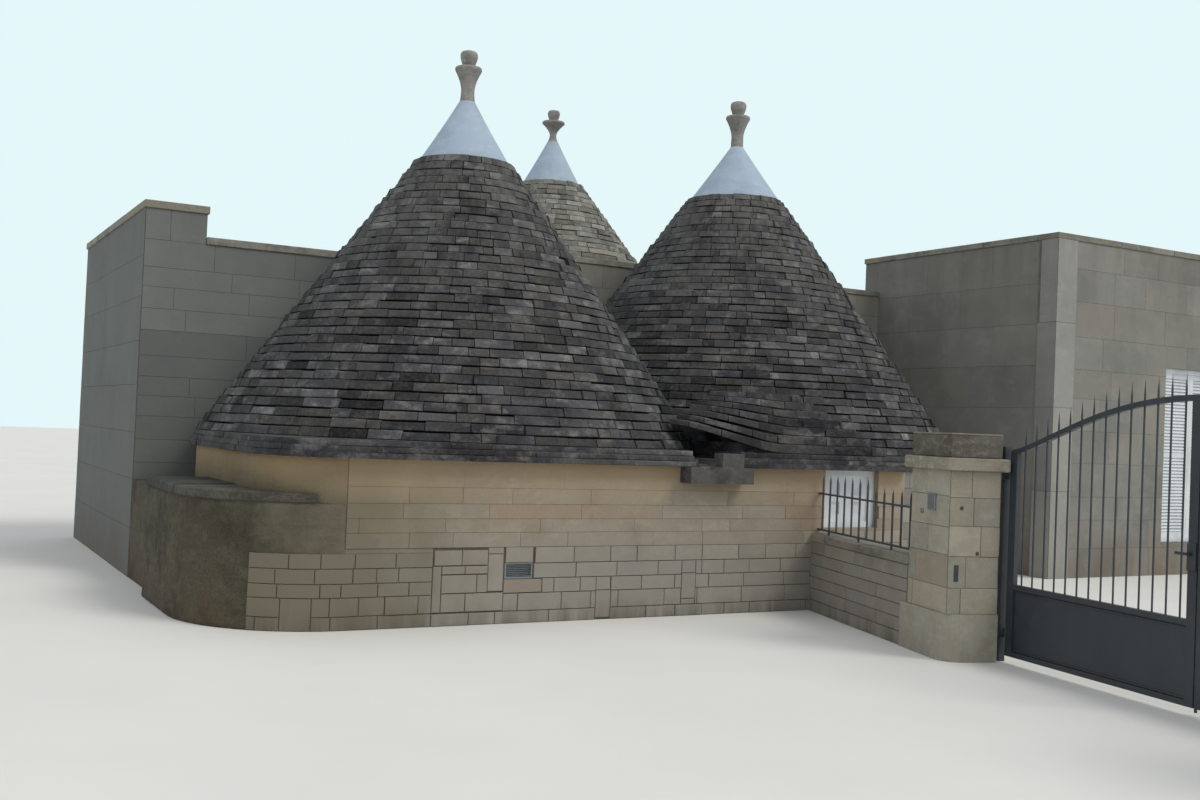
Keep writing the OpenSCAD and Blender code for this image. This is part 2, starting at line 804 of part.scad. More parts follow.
// Rear block, which carries the rear cone
module rear_block_front_wall() {
    color("wheat") difference() {
        block([rear_left_x, right_wing_x], [rear_block_y, inner_y], [0, rear_block_z - coping_t]);
        left_space();
        right_space();
        passages(-cut, passage_h);
    }
}
module rear_block_side_walls() {
    color("wheat") for (x = [rear_left_x, right_end_x - wing_wall_t])
        block([x, x + wing_wall_t],
              [x == rear_left_x ? inner_y + door_w : inner_y, rear_block_back - wing_wall_t],
              [0, rear_block_z - coping_t]);
}
module tall_window_cut(x, y) {
    block([x - window_w / 2, x + window_w / 2], [y - cut, y + wing_wall_t + cut],
          [window_sill_z, window_sill_z + window_h]);
}
module rear_block_rear_wall() {
    y = rear_block_back - wing_wall_t;
    color("wheat") difference() {
        block([rear_left_x, right_end_x], [y, rear_block_back], [0, rear_block_z - coping_t]);
        for (x = back_windows) tall_window_cut(x, y);
        block([back_door_x - door_w / 2, back_door_x + door_w / 2],
              [y - cut, rear_block_back + cut], [-cut, door_h]);
    }
}
module rear_block_roof() {
    color("lightgray") difference() {
        block([rear_left_x + wing_wall_t, right_end_x - wing_wall_t],
              [inner_y, rear_block_back - wing_wall_t], [rear_base_z - roof_t, rear_base_z]);
        translate([rear_c[0], rear_c[1], rear_base_z - roof_t - cut])
            cylinder(r = rear_room_r, h = roof_t + 2 * cut);
        right_space();
    }
}
module rear_block_coping() {
    o = coping_out;
    t = wing_wall_t;
    color("gainsboro") difference() {
        translate([0, 0, rear_block_z - coping_t]) linear_extrude(coping_t) difference() {
            translate([rear_left_x - o, rear_block_y - o])
                square([right_end_x - rear_left_x + 2 * o, rear_block_d + 2 * o]);
            translate([rear_left_x + t + o, inner_y + o])
                square([right_end_x - rear_left_x - 2 * t - 2 * o, rear_block_d - 2 * t - 2 * o]);
            translate([right_wing_x, rear_block_y - far]) square([far, far + t]);
        }
        right_space();
    }
}

// Right wing
module right_wing_front_wall() {
    color("wheat") difference() {
        block([right_wing_x, right_end_x], [right_wing_y, right_wing_y + wing_wall_t],
              [0, right_wing_z - coping_t]);
        tall_window_cut(wing_window_x, right_wing_y);
    }
}
module right_wing_side_walls() {
    color("wheat") {
        block([right_wing_x, right_wing_x + wing_wall_t],
              [right_wing_y + wing_wall_t, inner_y], [0, right_wing_z - coping_t]);
        difference() {
            block([right_end_x - wing_wall_t, right_end_x],
                  [right_wing_y + wing_wall_t, rear_block_y], [0, right_wing_z - coping_t]);
            block([right_end_x - wing_wall_t - cut, right_end_x + cut],
                  [end_window_y - window_w / 2, end_window_y + window_w / 2],
                  [window_sill_z, window_sill_z + window_h]);
        }
    }
}
module right_wing_back_wall() {
    color("wheat") block([right_wing_x + wing_wall_t + door_w, right_end_x],
        [rear_block_y, inner_y], [0, right_wing_z - coping_t]);
}
module right_wing_roof() {
    top = right_wing_z - parapet_h;
    color("lightgray") block([right_wing_x + wing_wall_t, right_end_x - wing_wall_t],
        [right_wing_y + wing_wall_t, rear_block_y], [top - roof_t, top]);
}
module right_wing_coping() {
    o = coping_out;
    t = wing_wall_t;
    color("gainsboro") translate([0, 0, right_wing_z - coping_t]) linear_extrude(coping_t)
        difference() {
            translate([right_wing_x - o, right_wing_y - o])
                square([right_wing_w + 2 * o, inner_y - right_wing_y + 2 * o]);
            translate([right_wing_x + t + o, right_wing_y + t + o])
                square([right_wing_w - 2 * t - 2 * o, inner_y - right_wing_y - 2 * t - 2 * o]);
        }
}
module corner_pilaster() {
    color("antiquewhite") linear_extrude(right_wing_z - coping_t) difference() {
        translate([right_wing_x - pilaster_out, right_wing_y - pilaster_out])
            square([pilaster_w + pilaster_out, pilaster_side_w + pilaster_out]);
        translate([right_wing_x, right_wing_y]) square([pilaster_w, pilaster_w]);
    }
}

// Window joinery. Local X runs along the wall and Y into it, from the middle of the sill.
module frame_ring(w, h) {
    translate([-w / 2, reveal, 0]) difference() {
        cube([w, frame_d, h]);
        translate([frame_w, -cut, frame_w]) cube([w - 2 * frame_w, frame_d + 2 * cut, h - 2 * frame_w]);
    }
}
module shutter_pair(w, h) {
    leaf_w = w / 2 - frame_w;
    rail = 70;
    for (side = [-1, 1])
        translate([side < 0 ? -leaf_w : 0, reveal + frame_d - shutter_t, frame_w]) difference() {
            cube([leaf_w - (side < 0 ? 4 : 0), shutter_t, h - 2 * frame_w]);
            for (z = [rail, (h - 2 * frame_w) / 2 + rail / 2])
                translate([rail, -cut, z])
                    cube([leaf_w - 2 * rail, shutter_t - 12 + cut, (h - 2 * frame_w - 3 * rail) / 2]);
        }
}
module at_windows() {
    translate([wing_window_x, right_wing_y, window_sill_z]) children();
    for (x = back_windows)
        translate([x, rear_block_back, window_sill_z]) rotate([0, 0, 180]) children();
    translate([right_end_x, end_window_y, window_sill_z]) rotate([0, 0, 90]) children();
}
module window_frames() {
    color("white") {
        at_windows() frame_ring(window_w, window_h);
        translate([court_window_x + court_window_w / 2, wall_f, court_sill_z])
            frame_ring(court_window_w, eaves_z - court_sill_z);
        translate([back_door_x, rear_block_back, 0]) rotate([0, 0, 180]) frame_ring(door_w, door_h);
    }
}
module window_shutters() {
    color("white") {
        at_windows() shutter_pair(window_w, window_h);
        translate([court_window_x + court_window_w / 2, wall_f, court_sill_z])
            shutter_pair(court_window_w, eaves_z - court_sill_z);
        translate([back_door_x, rear_block_back, 0]) rotate([0, 0, 180]) shutter_pair(door_w, door_h);
    }
}
module vent_grille() {
    rim = 14;
    slats = 7;
    pitch = (vent_h - 2 * rim) / slats;
    color("silver") translate([-vent_in - vent_w / 2, wall_f, vent_z]) {
        difference() {
            cube([vent_w, vent_depth, vent_h]);
            translate([rim, -cut, rim]) cube([vent_w - 2 * rim, vent_depth - 6 + cut, vent_h - 2 * rim]);
        }
        for (i = [0:slats - 1])
            translate([rim - 1, 6, rim + pitch * (i + 0.3)])
                cube([vent_w - 2 * rim + 2, vent_depth - 8, pitch * 0.3]);
    }
}

// Court wall. Inside at_court, X runs along the wall, and Y across it.
module street_side() {
    translate([-far / 2, wall_f, -cut]) cube([far, far, far]);
}
module low_wall() {
    color("tan") difference() {
        at_court() translate([-far / 100, 0, 0])
            cube([court_wall_l + far / 100 - butt_gap, court_wall_t, court_wall_h]);
        street_side();
    }
}
module spike(w, h) {
    rotate([0, 0, 45]) cylinder(d1 = (w - 1) * sqrt(2), d2 = 1, h = h, $fn = 4);
}
tall_bars = floor(rail_bars * 0.6);
module railing() {
    rail_h = 16;
    rail_d = 32;
    first = 70;
    pitch = (court_wall_l - first - 170) / (rail_bars - 1);
    color("darkslategray") difference() {
        at_court() translate([0, rail_in, 0]) {
            for (z = [rail_low_z, rail_top_z])
                translate([-court_wall_t, -rail_d / 2, z - rail_h])
                    cube([court_wall_l + court_wall_t, rail_d, rail_h]);
            for (i = [0:rail_bars - 1]) {
                tip_z = rail_top_z + (i < tall_bars ? 185 : 125);
                foot_z = i % 4 == 1 ? court_wall_h : rail_low_z - rail_h;
                translate([first + pitch * i, 0, 0]) {
                    translate([-rail_bar_w / 2, -rail_bar_w / 2, foot_z])
                        cube([rail_bar_w, rail_bar_w, tip_z - 60 - foot_z]);
                    translate([0, 0, tip_z - 60]) spike(rail_bar_w, 60);
                }
            }
        }
        street_side();
    }
}

// The near and far hinge axes. X runs from the axis to the line where the leaves meet.
module near_gate_place() {
    translate([hinge_xy[0], hinge_xy[1], 0]) rotate([0, 0, -90 - gate_a]) children();
}
module far_gate_place() {
    translate([far_hinge_xy[0], far_hinge_xy[1], 0]) rotate([0, 0, -90 - gate_a])
        mirror([1, 0, 0]) children();
}

// The two posts, square to their piers
module post_place() { translate([-hinge_out, 0, 0]) rotate([0, 0, gate_a - court_a]) children(); }
module at_posts() {
    near_gate_place() post_place() children();
    far_gate_place() post_place() children();
}
module at_piers() {
    at_posts() translate([post_in - pier_l, -post_w / 2 - pier_band_out - pier_w, 0]) children();
}

plinth_r = 165;                     // round front corner of a plinth
plinth_run = 100;                   // how far a plinth runs on along the court wall
module pier() {
    linear_extrude(plinth_h) hull() {
        square_end = pier_l + plinth_out - plinth_r;
        translate([0, -plinth_out]) square([square_end, pier_w + plinth_out]);
        translate([square_end, plinth_r - plinth_out]) circle(r = plinth_r, $fn = 32);
        translate([0, pier_w - 10]) square([pier_l + plinth_out, 10]);
    }
    linear_extrude(plinth_h) translate([-plinth_run, -plinth_out])
        square([2 * plinth_run, plinth_out - seat_gap]);
    translate([0, 0, plinth_h]) cube([pier_l, pier_w, pier_h - plinth_h]);
}
module gate_piers() {
    color("tan") at_piers() pier();
}
module pier_cap() {
    o = pier_band_out;
    translate([-o, -o, pier_h]) cube([pier_l + 2 * o, pier_w + 2 * o, pier_band_h]);
    translate([-8, -8, pier_h + pier_band_h]) cube([pier_l + 16, pier_w + 16, pier_block_h]);
}
module pier_caps() {
    color("gray") at_piers() pier_cap();
}

// Steel posts, tied to the piers, with an upright pin on each bracket
module gate_post() {
    translate([-post_w / 2, -post_w / 2, 0]) cube([post_w, post_w, leaf_low_z + 30]);
    for (z = hinge_zs) {
        translate([-tie_w / 2, -post_w / 2 - pier_band_out, z - tie_w])
            cube([tie_w, pier_band_out + tie_t, tie_t]);
        rotate([0, 0, court_a - gate_a]) translate([0, 0, z - bracket_t]) {
            translate([0, -pin_r, 0]) cube([hinge_out, 2 * pin_r, bracket_t]);
            translate([hinge_out, 0, 0]) cylinder(r = knuckle_r, h = bracket_t);
            translate([hinge_out, 0, 0]) cylinder(r = pin_r, h = bracket_t + knuckle_h);
        }
    }
}
module gate_posts() { color("darkslategray") at_posts() gate_post(); }

// Gate leaf. X runs from the hinge axis to the meeting line.
function leaf_top(x) =
    leaf_low_z + (leaf_high_z - leaf_low_z) * (1 - cos(180 * pow(x / leaf_l, 0.68))) / 2;
leaf_x0 = knuckle_r + 6;
leaf_x1 = leaf_l - leaf_gap / 2;
module gate_leaf() {
    t = leaf_tube;
    rail_steps = 18;
    rail_x = [for (i = [0:rail_steps]) leaf_x0 + (leaf_x1 - leaf_x0) * i / rail_steps];
    // stiles, sheet and straight rails
    translate([leaf_x0, -t / 2, leaf_foot_z])
        cube([leaf_stile_w, t, leaf_low_z - leaf_foot_z]);
    translate([leaf_x1 - leaf_stile_w, -t / 2, leaf_foot_z])
        cube([leaf_stile_w, t, leaf_high_z - t / 2 - leaf_foot_z]);
    for (z = [leaf_foot_z, leaf_mid_z - t / 2])
        translate([leaf_x0, -t / 2, z]) cube([leaf_x1 - leaf_x0, t, t]);
    translate([leaf_x0 + 1, -2, leaf_foot_z + 1])
        cube([leaf_x1 - leaf_x0 - 2, 4, leaf_mid_z - leaf_foot_z]);
    // curved top rail
    translate([0, t / 2, 0]) rotate([90, 0, 0]) linear_extrude(t) polygon(concat(
        [for (x = rail_x) [x, leaf_top(x)]],
        [for (i = [rail_steps:-1:0]) [rail_x[i], leaf_top(rail_x[i]) - t]]
    ));
    // spiked bars
    for (i = [1:gate_bars]) {
        x = leaf_x0 + leaf_stile_w + (leaf_x1 - leaf_x0 - 2 * leaf_stile_w) * (i - 0.4) / (gate_bars + 0.2);
        translate([x - gate_bar_w / 2, -gate_bar_w / 2, leaf_mid_z])
            cube([gate_bar_w, gate_bar_w, leaf_top(x) + spike_h / 3 - leaf_mid_z]);
        translate([x, 0, leaf_top(x) + spike_h / 3]) spike(gate_bar_w, spike_h * 2 / 3);
    }
    // hinge knuckles
    for (z = hinge_zs) translate([0, 0, z + 2]) difference() {
        union() {
            cylinder(r = knuckle_r, h = knuckle_h - 4);
            translate([0, -4, 0]) cube([leaf_x0 + 1, 8, knuckle_h - 4]);
        }
        translate([0, 0, -cut]) cylinder(r = pin_r + pin_gap, h = knuckle_h + 2 * cut);
    }
}
module near_gate_leaf() { color("slategray") near_gate_place() gate_leaf(); }
module far_gate_leaf() { color("slategray") far_gate_place() gate_leaf(); }

front_wall();
corner_wall();
left_flank();
corner_coping();
flank_wall();
left_trullo_wall();
valley_masonry();
right_trullo_wall();
right_trullo_court_wall();
doorway_lintels();
left_eaves();
right_eaves();
right_apron();
gutter_stones();
left_roof();
right_roof();
rear_roof();
roof_caps();
finials();
left_wing_front_wall();
left_wing_side_walls();
left_wing_rear_wall();
left_wing_roof();
left_wing_coping();
rear_block_front_wall();
rear_block_side_walls();
rear_block_rear_wall();
rear_block_roof();
rear_block_coping();
right_wing_front_wall();
right_wing_side_walls();
right_wing_back_wall();
right_wing_roof();
right_wing_coping();
corner_pilaster();
window_frames();
window_shutters();
vent_grille();
low_wall();
railing();
gate_piers();
pier_caps();
gate_posts();
near_gate_leaf();
far_gate_leaf();
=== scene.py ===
import bpy
import bmesh
import json
import math
import random
from mathutils import Matrix, Vector, noise


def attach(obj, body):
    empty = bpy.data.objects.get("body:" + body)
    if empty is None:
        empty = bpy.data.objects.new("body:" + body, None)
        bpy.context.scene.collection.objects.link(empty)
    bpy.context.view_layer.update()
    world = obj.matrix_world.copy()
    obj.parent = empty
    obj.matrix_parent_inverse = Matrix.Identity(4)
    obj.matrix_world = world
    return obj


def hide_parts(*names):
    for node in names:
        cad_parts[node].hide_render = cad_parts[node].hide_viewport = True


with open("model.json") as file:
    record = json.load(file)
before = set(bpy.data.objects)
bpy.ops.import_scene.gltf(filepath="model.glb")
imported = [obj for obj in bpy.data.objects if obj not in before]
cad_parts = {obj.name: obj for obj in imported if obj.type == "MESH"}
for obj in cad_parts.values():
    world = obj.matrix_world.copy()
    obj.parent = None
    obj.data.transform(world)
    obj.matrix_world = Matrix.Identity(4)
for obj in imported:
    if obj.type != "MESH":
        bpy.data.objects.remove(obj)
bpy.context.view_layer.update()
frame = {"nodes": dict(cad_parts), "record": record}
scene = bpy.context.scene


def addObject(name, data):
    thing = bpy.data.objects.new(name, data)
    scene.collection.objects.link(thing)
    return thing


# Camera at the photograph's eye point
cameraView = {"eye": (-5.184, -10.027, 1.700), "yaw": 29.6, "pitch": 1.25, "roll": -2.38, "lens": 37.65,
              "sensor": 36, "clipEnd": 200}


def placeCamera(view):
    yaw, pitch, roll = (math.radians(view[turn]) for turn in ("yaw", "pitch", "roll"))
    forward = Vector((math.sin(yaw) * math.cos(pitch), math.cos(yaw) * math.cos(pitch), math.sin(pitch)))
    levelRight = Vector((math.cos(yaw), -math.sin(yaw), 0))
    levelUp = levelRight.cross(forward)
    right = math.cos(roll) * levelRight - math.sin(roll) * levelUp
    up = math.sin(roll) * levelRight + math.cos(roll) * levelUp
    data = bpy.data.cameras.new("camera")
    data.lens, data.sensor_width, data.clip_end = view["lens"], view["sensor"], view["clipEnd"]
    camera = addObject("camera", data)
    axes = Matrix((right, up, -forward)).transposed()
    camera.matrix_world = Matrix.Translation(view["eye"]) @ axes.to_4x4()
    scene.camera = camera


placeCamera(cameraView)


# Shader helpers: a socket takes another node's socket or a plain value
def join(tree, source, socket):
    if isinstance(source, bpy.types.NodeSocket):
        tree.links.new(source, socket)
    else:
        socket.default_value = source


def addNode(tree, kind, inputs=None, **settings):
    node = tree.nodes.new(kind)
    for key, value in settings.items():
        setattr(node, key, value)
    for name, source in (inputs or {}).items():
        join(tree, source, node.inputs[name])
    return node


def mathNode(tree, operation, value, *others):
    for other in others:
        value = addNode(tree, "ShaderNodeMath", {0: value, 1: other}, operation=operation).outputs[0]
    return value


def times(tree, *values):
    return mathNode(tree, "MULTIPLY", *values)


def plus(tree, *values):
    return mathNode(tree, "ADD", *values)


def mixColors(tree, factor, first, second):
    return addNode(tree, "ShaderNodeMix", {0: factor, 6: first, 7: second}, data_type="RGBA").outputs[2]


def scaleColor(tree, color, level):
    return addNode(tree, "ShaderNodeVectorMath", {0: color, "Scale": level}, operation="SCALE").outputs[0]


def rangeNode(tree, value, fromMin, fromMax, toMin=0.0, toMax=1.0):
    inputs = {"Value": value, "From Min": fromMin, "From Max": fromMax, "To Min": toMin, "To Max": toMax}
    return addNode(tree, "ShaderNodeMapRange", inputs).outputs["Result"]


def noiseNode(tree, vector, scale, detail, rough=0.6):
    inputs = {"Vector": vector, "Scale": scale, "Detail": detail, "Roughness": rough}
    return addNode(tree, "ShaderNodeTexNoise", inputs).outputs["Fac"]


def movedVector(tree, vector, offset, scale):
    return addNode(tree, "ShaderNodeMapping", {"Vector": vector, "Location": offset, "Scale": scale}).outputs["Vector"]


def objectPlace(tree):
    return addNode(tree, "ShaderNodeTexCoord").outputs["Object"]


def blockValue(tree, name):
    return addNode(tree, "ShaderNodeAttribute", attribute_name=name).outputs["Fac"]


# Shared surface groups
grey = (0.5, 0.5, 0.5, 1)
surfaceOutputs = ("Color", "Roughness", "Height")


def newGroup(name, inputs, outputs):
    tree = bpy.data.node_groups.new(name, "ShaderNodeTree")
    for socketName, value in inputs.items():
        kind = "NodeSocketColor" if isinstance(value, tuple) else "NodeSocketFloat"
        tree.interface.new_socket(socketName, in_out="INPUT", socket_type=kind).default_value = value
    for socketName in outputs:
        kind = "NodeSocketColor" if socketName == "Color" else "NodeSocketFloat"
        tree.interface.new_socket(socketName, in_out="OUTPUT", socket_type=kind)
    return tree, addNode(tree, "NodeGroupInput").outputs, addNode(tree, "NodeGroupOutput").inputs


def buildStoneGroup():
    tree, given, result = newGroup("weatheredStone", {
        "Color": grey, "Dark": grey, "Pale": grey, "Warm": grey, "Grain Scale": 90, "Patch Scale": 2.5,
        "Dark Amount": 0.5, "Pale Amount": 0.3, "Tint Amount": 0.3, "Grain Amount": 0.3, "Base Roughness": 0.85,
    }, surfaceOutputs)
    place = objectPlace(tree)
    grain = noiseNode(tree, place, given["Grain Scale"], 4, 0.7)
    patch = noiseNode(tree, place, given["Patch Scale"], 7, 0.62)
    paleScale = times(tree, given["Patch Scale"], 2.3)
    palePatch = noiseNode(tree, movedVector(tree, place, (7, 3, 5), (1, 1, 1.6)), paleScale, 6, 0.7)
    darkMask = times(tree, rangeNode(tree, patch, 0.44, 0.64), given["Dark Amount"])
    paleMask = times(tree, rangeNode(tree, palePatch, 0.5, 0.66), given["Pale Amount"])
    color = mixColors(tree, darkMask, given["Color"], given["Dark"])
    color = mixColors(tree, paleMask, color, given["Pale"])
    warmMask = mathNode(tree, "MINIMUM", blockValue(tree, "blockWarm"), 0.9)
    color = mixColors(tree, warmMask, color, given["Warm"])
    tint = times(tree, blockValue(tree, "blockTint"), given["Tint Amount"])
    speck = times(tree, mathNode(tree, "SUBTRACT", grain, 0.5), given["Grain Amount"])
    level = mathNode(tree, "MAXIMUM", plus(tree, tint, speck, 1.0), 0.12)
    join(tree, scaleColor(tree, color, level), result["Color"])
    rough = plus(tree, given["Base Roughness"], rangeNode(tree, patch, 0.3, 0.7, -0.07, 0.07))
    join(tree, rough, result["Roughness"])
    height = plus(tree, times(tree, grain, 0.6), times(tree, patch, 0.4))
    join(tree, height, result["Height"])
    return tree


def buildStainGroup():
    tree, given, result = newGroup("streakStain", {
        "Color": grey, "Stain": grey, "From Z": 0, "To Z": 1, "Streak Scale": 4, "Amount": 0.5, "Even": 0.0,
    }, ("Color",))
    place = objectPlace(tree)
    z = addNode(tree, "ShaderNodeSeparateXYZ", {0: place}).outputs["Z"]
    fade = rangeNode(tree, z, given["From Z"], given["To Z"], 1.0, 0.0)
    streaks = noiseNode(tree, movedVector(tree, place, (0, 0, 0), (1, 1, 0.14)), given["Streak Scale"], 5, 0.65)
    mask = times(tree, fade, rangeNode(tree, streaks, 0.36, 0.66, given["Even"], 1.0), given["Amount"])
    join(tree, mixColors(tree, mask, given["Color"], given["Stain"]), result["Color"])
    return tree


# A colour that fades out along X over cloudy noise: a colour change on the street and corner stone, painted shade on
# the wing stone
def buildPatinaAndShadeGroup():
    tree, given, result = newGroup("sidePatinaAndShade", {
        "Color": grey, "Patina And Shade": grey, "From X": 0, "To X": 1, "Amount": 0.8,
    }, ("Color",))
    place = objectPlace(tree)
    x = addNode(tree, "ShaderNodeSeparateXYZ", {0: place}).outputs["X"]
    cloud = noiseNode(tree, movedVector(tree, place, (2, 0, 1), (1, 1, 0.6)), 1.8, 6, 0.65)
    spread = times(tree, mathNode(tree, "SUBTRACT", cloud, 0.5), 1.6)
    along = plus(tree, x, spread)
    fade = rangeNode(tree, along, given["From X"], given["To X"], 1.0, 0.0)
    mask = times(tree, fade, given["Amount"])
    join(tree, mixColors(tree, mask, given["Color"], given["Patina And Shade"]), result["Color"])
    return tree


def buildPaintGroup():
    tree, given, result = newGroup("wornPaint", {
        "Color": grey, "Wear": grey, "Wear Scale": 12, "Wear Amount": 0.3, "Base Roughness": 0.5,
    }, surfaceOutputs)
    place = objectPlace(tree)
    wear = noiseNode(tree, place, given["Wear Scale"], 6, 0.7)
    dust = noiseNode(tree, movedVector(tree, place, (3, 1, 2), (1, 1, 0.3)), 3.5, 4)
    mask = times(tree, rangeNode(tree, wear, 0.52, 0.7), given["Wear Amount"])
    color = mixColors(tree, mask, given["Color"], given["Wear"])
    join(tree, scaleColor(tree, color, rangeNode(tree, dust, 0.3, 0.7, 0.86, 1.16)), result["Color"])
    rough = plus(tree, given["Base Roughness"], rangeNode(tree, wear, 0.4, 0.7, -0.04, 0.14))
    join(tree, rough, result["Roughness"])
    join(tree, wear, result["Height"])
    return tree


stoneGroup, stainGroup = buildStoneGroup(), buildStainGroup()
patinaAndShadeGroup, paintGroup = buildPatinaAndShadeGroup(), buildPaintGroup()


def placeGroup(tree, group, *values):
    node = addNode(tree, "ShaderNodeGroup", node_tree=group)
    for socket, value in zip(node.inputs, values):
        join(tree, (*value, 1) if isinstance(value, tuple) else value, socket)
    return node.outputs


def newMaterial(name):
    material = bpy.data.materials.new(name)
    material.use_nodes = True
    tree = material.node_tree
    return material, tree, tree.nodes["Principled BSDF"]


def makeFinish(name, group, values, look):
    material, tree, shader = newMaterial(name)
    source = placeGroup(tree, group, *values)
    color = source["Color"]
    for markGroup, *mark in look.get("marks", ()):
        color = placeGroup(tree, markGroup, color, *mark)["Color"]
    relief = addNode(tree, "ShaderNodeBump", {"Strength": 0.8, "Distance": look["bump"], "Height": source["Height"]})
    for socketName, value in (("Base Color", color), ("Roughness", source["Roughness"]),
                              ("Metallic", look.get("metallic", 0.0)), ("Specular IOR Level", look["shine"]),
                              ("Normal", relief.outputs["Normal"])):
        join(tree, value, shader.inputs[socketName])
    return material


def makeStone(name, look):
    values = (*look["colors"], *look["scales"], *look["amounts"], look["rough"])
    return makeFinish(name, stoneGroup, values, {"shine": 0.25, **look})


def makePaint(name, look):
    values = (*look["colors"], *look["wear"], look["rough"])
    return makeFinish(name, paintGroup, values, {"shine": 0.5, "bump": 0.0006, **look})


# The stone colours are set darker than the stones' own, close to their tones in the shade the house stands in: painted
# shade over the whole palette.
# Stones: colors are plain, dark, pale and warm; scales are grain and patch; amounts are dark, pale, tint and grain.
# Marks, laid one over the other: a stain has its colour, its two heights, streak scale, amount and evenness;
# a patina has its colour, the two places along X between which it fades, and its amount. On the wing stone this patina
# mark is painted shade over the left wing.
ochreBand = (stainGroup, (0.43, 0.315, 0.18), 1.36, 1.0, 1.5, 0.85, 0.7)
stoneLooks = {
    "street_stone": {
        "colors": ((0.3, 0.27, 0.218), (0.215, 0.172, 0.125), (0.37, 0.348, 0.3), (0.28, 0.195, 0.13)),
        "scales": (70, 2.4), "amounts": (0.5, 0.5, 0.13, 0.45), "rough": 0.84, "bump": 0.005,
        "marks": ((stainGroup, (0.25, 0.245, 0.222), 0.5, 0.8, 2, 0.8, 0.6),
                  (patinaAndShadeGroup, (0.165, 0.146, 0.104), -1.75, -0.8, 0.93), ochreBand,
                  (stainGroup, (0.085, 0.075, 0.06), 0.0, 0.2, 5, 0.8))},
    "corner_stone": {
        "colors": ((0.09, 0.082, 0.056), (0.042, 0.039, 0.028), (0.15, 0.128, 0.085), (0.13, 0.085, 0.045)),
        "scales": (60, 2.2), "amounts": (0.8, 0.5, 0.15, 1.6), "rough": 0.88, "bump": 0.02,
        "marks": ((stainGroup, (0.045, 0.038, 0.026), 1.05, 0.3, 5, 0.7),
                  (patinaAndShadeGroup, (0.165, 0.146, 0.104), -1.95, -2.75, 0.9), ochreBand,
                  (stainGroup, (0.105, 0.062, 0.036), 0.05, 0.55, 3, 0.8))},
    "wing_stone": {
        "colors": ((0.225, 0.222, 0.204), (0.145, 0.147, 0.14), (0.3, 0.29, 0.255), (0.26, 0.225, 0.165)),
        "scales": (60, 1.2), "amounts": (0.5, 0.4, 0.14, 0.22), "rough": 0.82, "bump": 0.003,
        "marks": ((stainGroup, (0.095, 0.095, 0.088), 4.4, 2.4, 2.4, 0.4),
                  # painted shade: a bluish dark over the whole left wing (x below 0.3, gone by 0.9), on all its sides
                  (patinaAndShadeGroup, (0.105, 0.117, 0.117), 0.3, 0.9, 0.68),
                  (stainGroup, (0.16, 0.098, 0.05), 0.0, 0.7, 2.5, 0.7))},
    "pilaster_stone": {
        "colors": ((0.29, 0.289, 0.275), (0.21, 0.205, 0.19), (0.37, 0.365, 0.345), (0.3, 0.28, 0.24)),
        "scales": (70, 1.6), "amounts": (0.4, 0.4, 0.1, 0.2), "rough": 0.75, "bump": 0.002,
        "marks": ((stainGroup, (0.16, 0.155, 0.14), 4.5, 3.3, 4, 0.4),)},
    "coping_stone": {
        "colors": ((0.235, 0.226, 0.195), (0.1, 0.097, 0.085), (0.34, 0.33, 0.29), (0.25, 0.222, 0.172)),
        "scales": (48, 3.2), "amounts": (0.7, 0.5, 0.2, 0.6), "rough": 0.88, "bump": 0.007},
    "pier_stone": {
        "colors": ((0.33, 0.318, 0.262), (0.255, 0.225, 0.165), (0.41, 0.402, 0.355), (0.36, 0.295, 0.21)),
        "scales": (75, 4), "amounts": (0.5, 0.45, 0.15, 0.35), "rough": 0.84, "bump": 0.004,
        "marks": ((stainGroup, (0.19, 0.17, 0.13), 0.0, 0.3, 6, 0.45),)},
    "pier_cap_stone": {
        "colors": ((0.125, 0.123, 0.108), (0.05, 0.05, 0.047), (0.3, 0.295, 0.265), (0.2, 0.17, 0.11)),
        "scales": (55, 5), "amounts": (0.8, 0.5, 0.2, 0.6), "rough": 0.88, "bump": 0.006},
    "roof_stone": {
        "colors": ((0.048, 0.047, 0.051), (0.014, 0.013, 0.018), (0.17, 0.168, 0.16), (0.06, 0.053, 0.046)),
        "scales": (34, 1.9), "amounts": (0.85, 0.6, 0.65, 1.8), "rough": 0.8, "bump": 0.009,
        "marks": ((stainGroup, (0.165, 0.16, 0.152), 5.2, 2.3, 9, 0.75),)},
    "rear_roof_stone": {
        "colors": ((0.185, 0.184, 0.17), (0.08, 0.079, 0.073), (0.36, 0.355, 0.33), (0.18, 0.16, 0.12)),
        "scales": (42, 5), "amounts": (0.6, 0.5, 0.4, 0.9), "rough": 0.85, "bump": 0.008},
    "gutter_stone": {
        "colors": ((0.09, 0.087, 0.083), (0.03, 0.03, 0.03), (0.19, 0.18, 0.165), (0.12, 0.1, 0.08)),
        "scales": (50, 4), "amounts": (0.7, 0.4, 0.3, 0.7), "rough": 0.88, "bump": 0.008},
    # The caps are white lime plaster; these bluish greys are its tone in shade under the sky: painted shade.
    "lime_plaster": {
        "colors": ((0.34, 0.42, 0.52), (0.24, 0.3, 0.375), (0.45, 0.51, 0.58), (0.5, 0.52, 0.54)),
        "scales": (40, 2.2), "amounts": (0.4, 0.5, 0.0, 0.1), "rough": 0.7, "bump": 0.004},
    "finial_stone": {
        "colors": ((0.27, 0.26, 0.245), (0.12, 0.115, 0.108), (0.4, 0.385, 0.36), (0.3, 0.27, 0.23)),
        "scales": (80, 9), "amounts": (0.6, 0.5, 0.1, 0.5), "rough": 0.85, "bump": 0.004},
    "flat_roof": {
        "colors": ((0.36, 0.345, 0.31), (0.21, 0.2, 0.18), (0.45, 0.44, 0.41), (0.38, 0.33, 0.26)),
        "scales": (50, 1.4), "amounts": (0.55, 0.4, 0.15, 0.35), "rough": 0.85, "bump": 0.004},
}
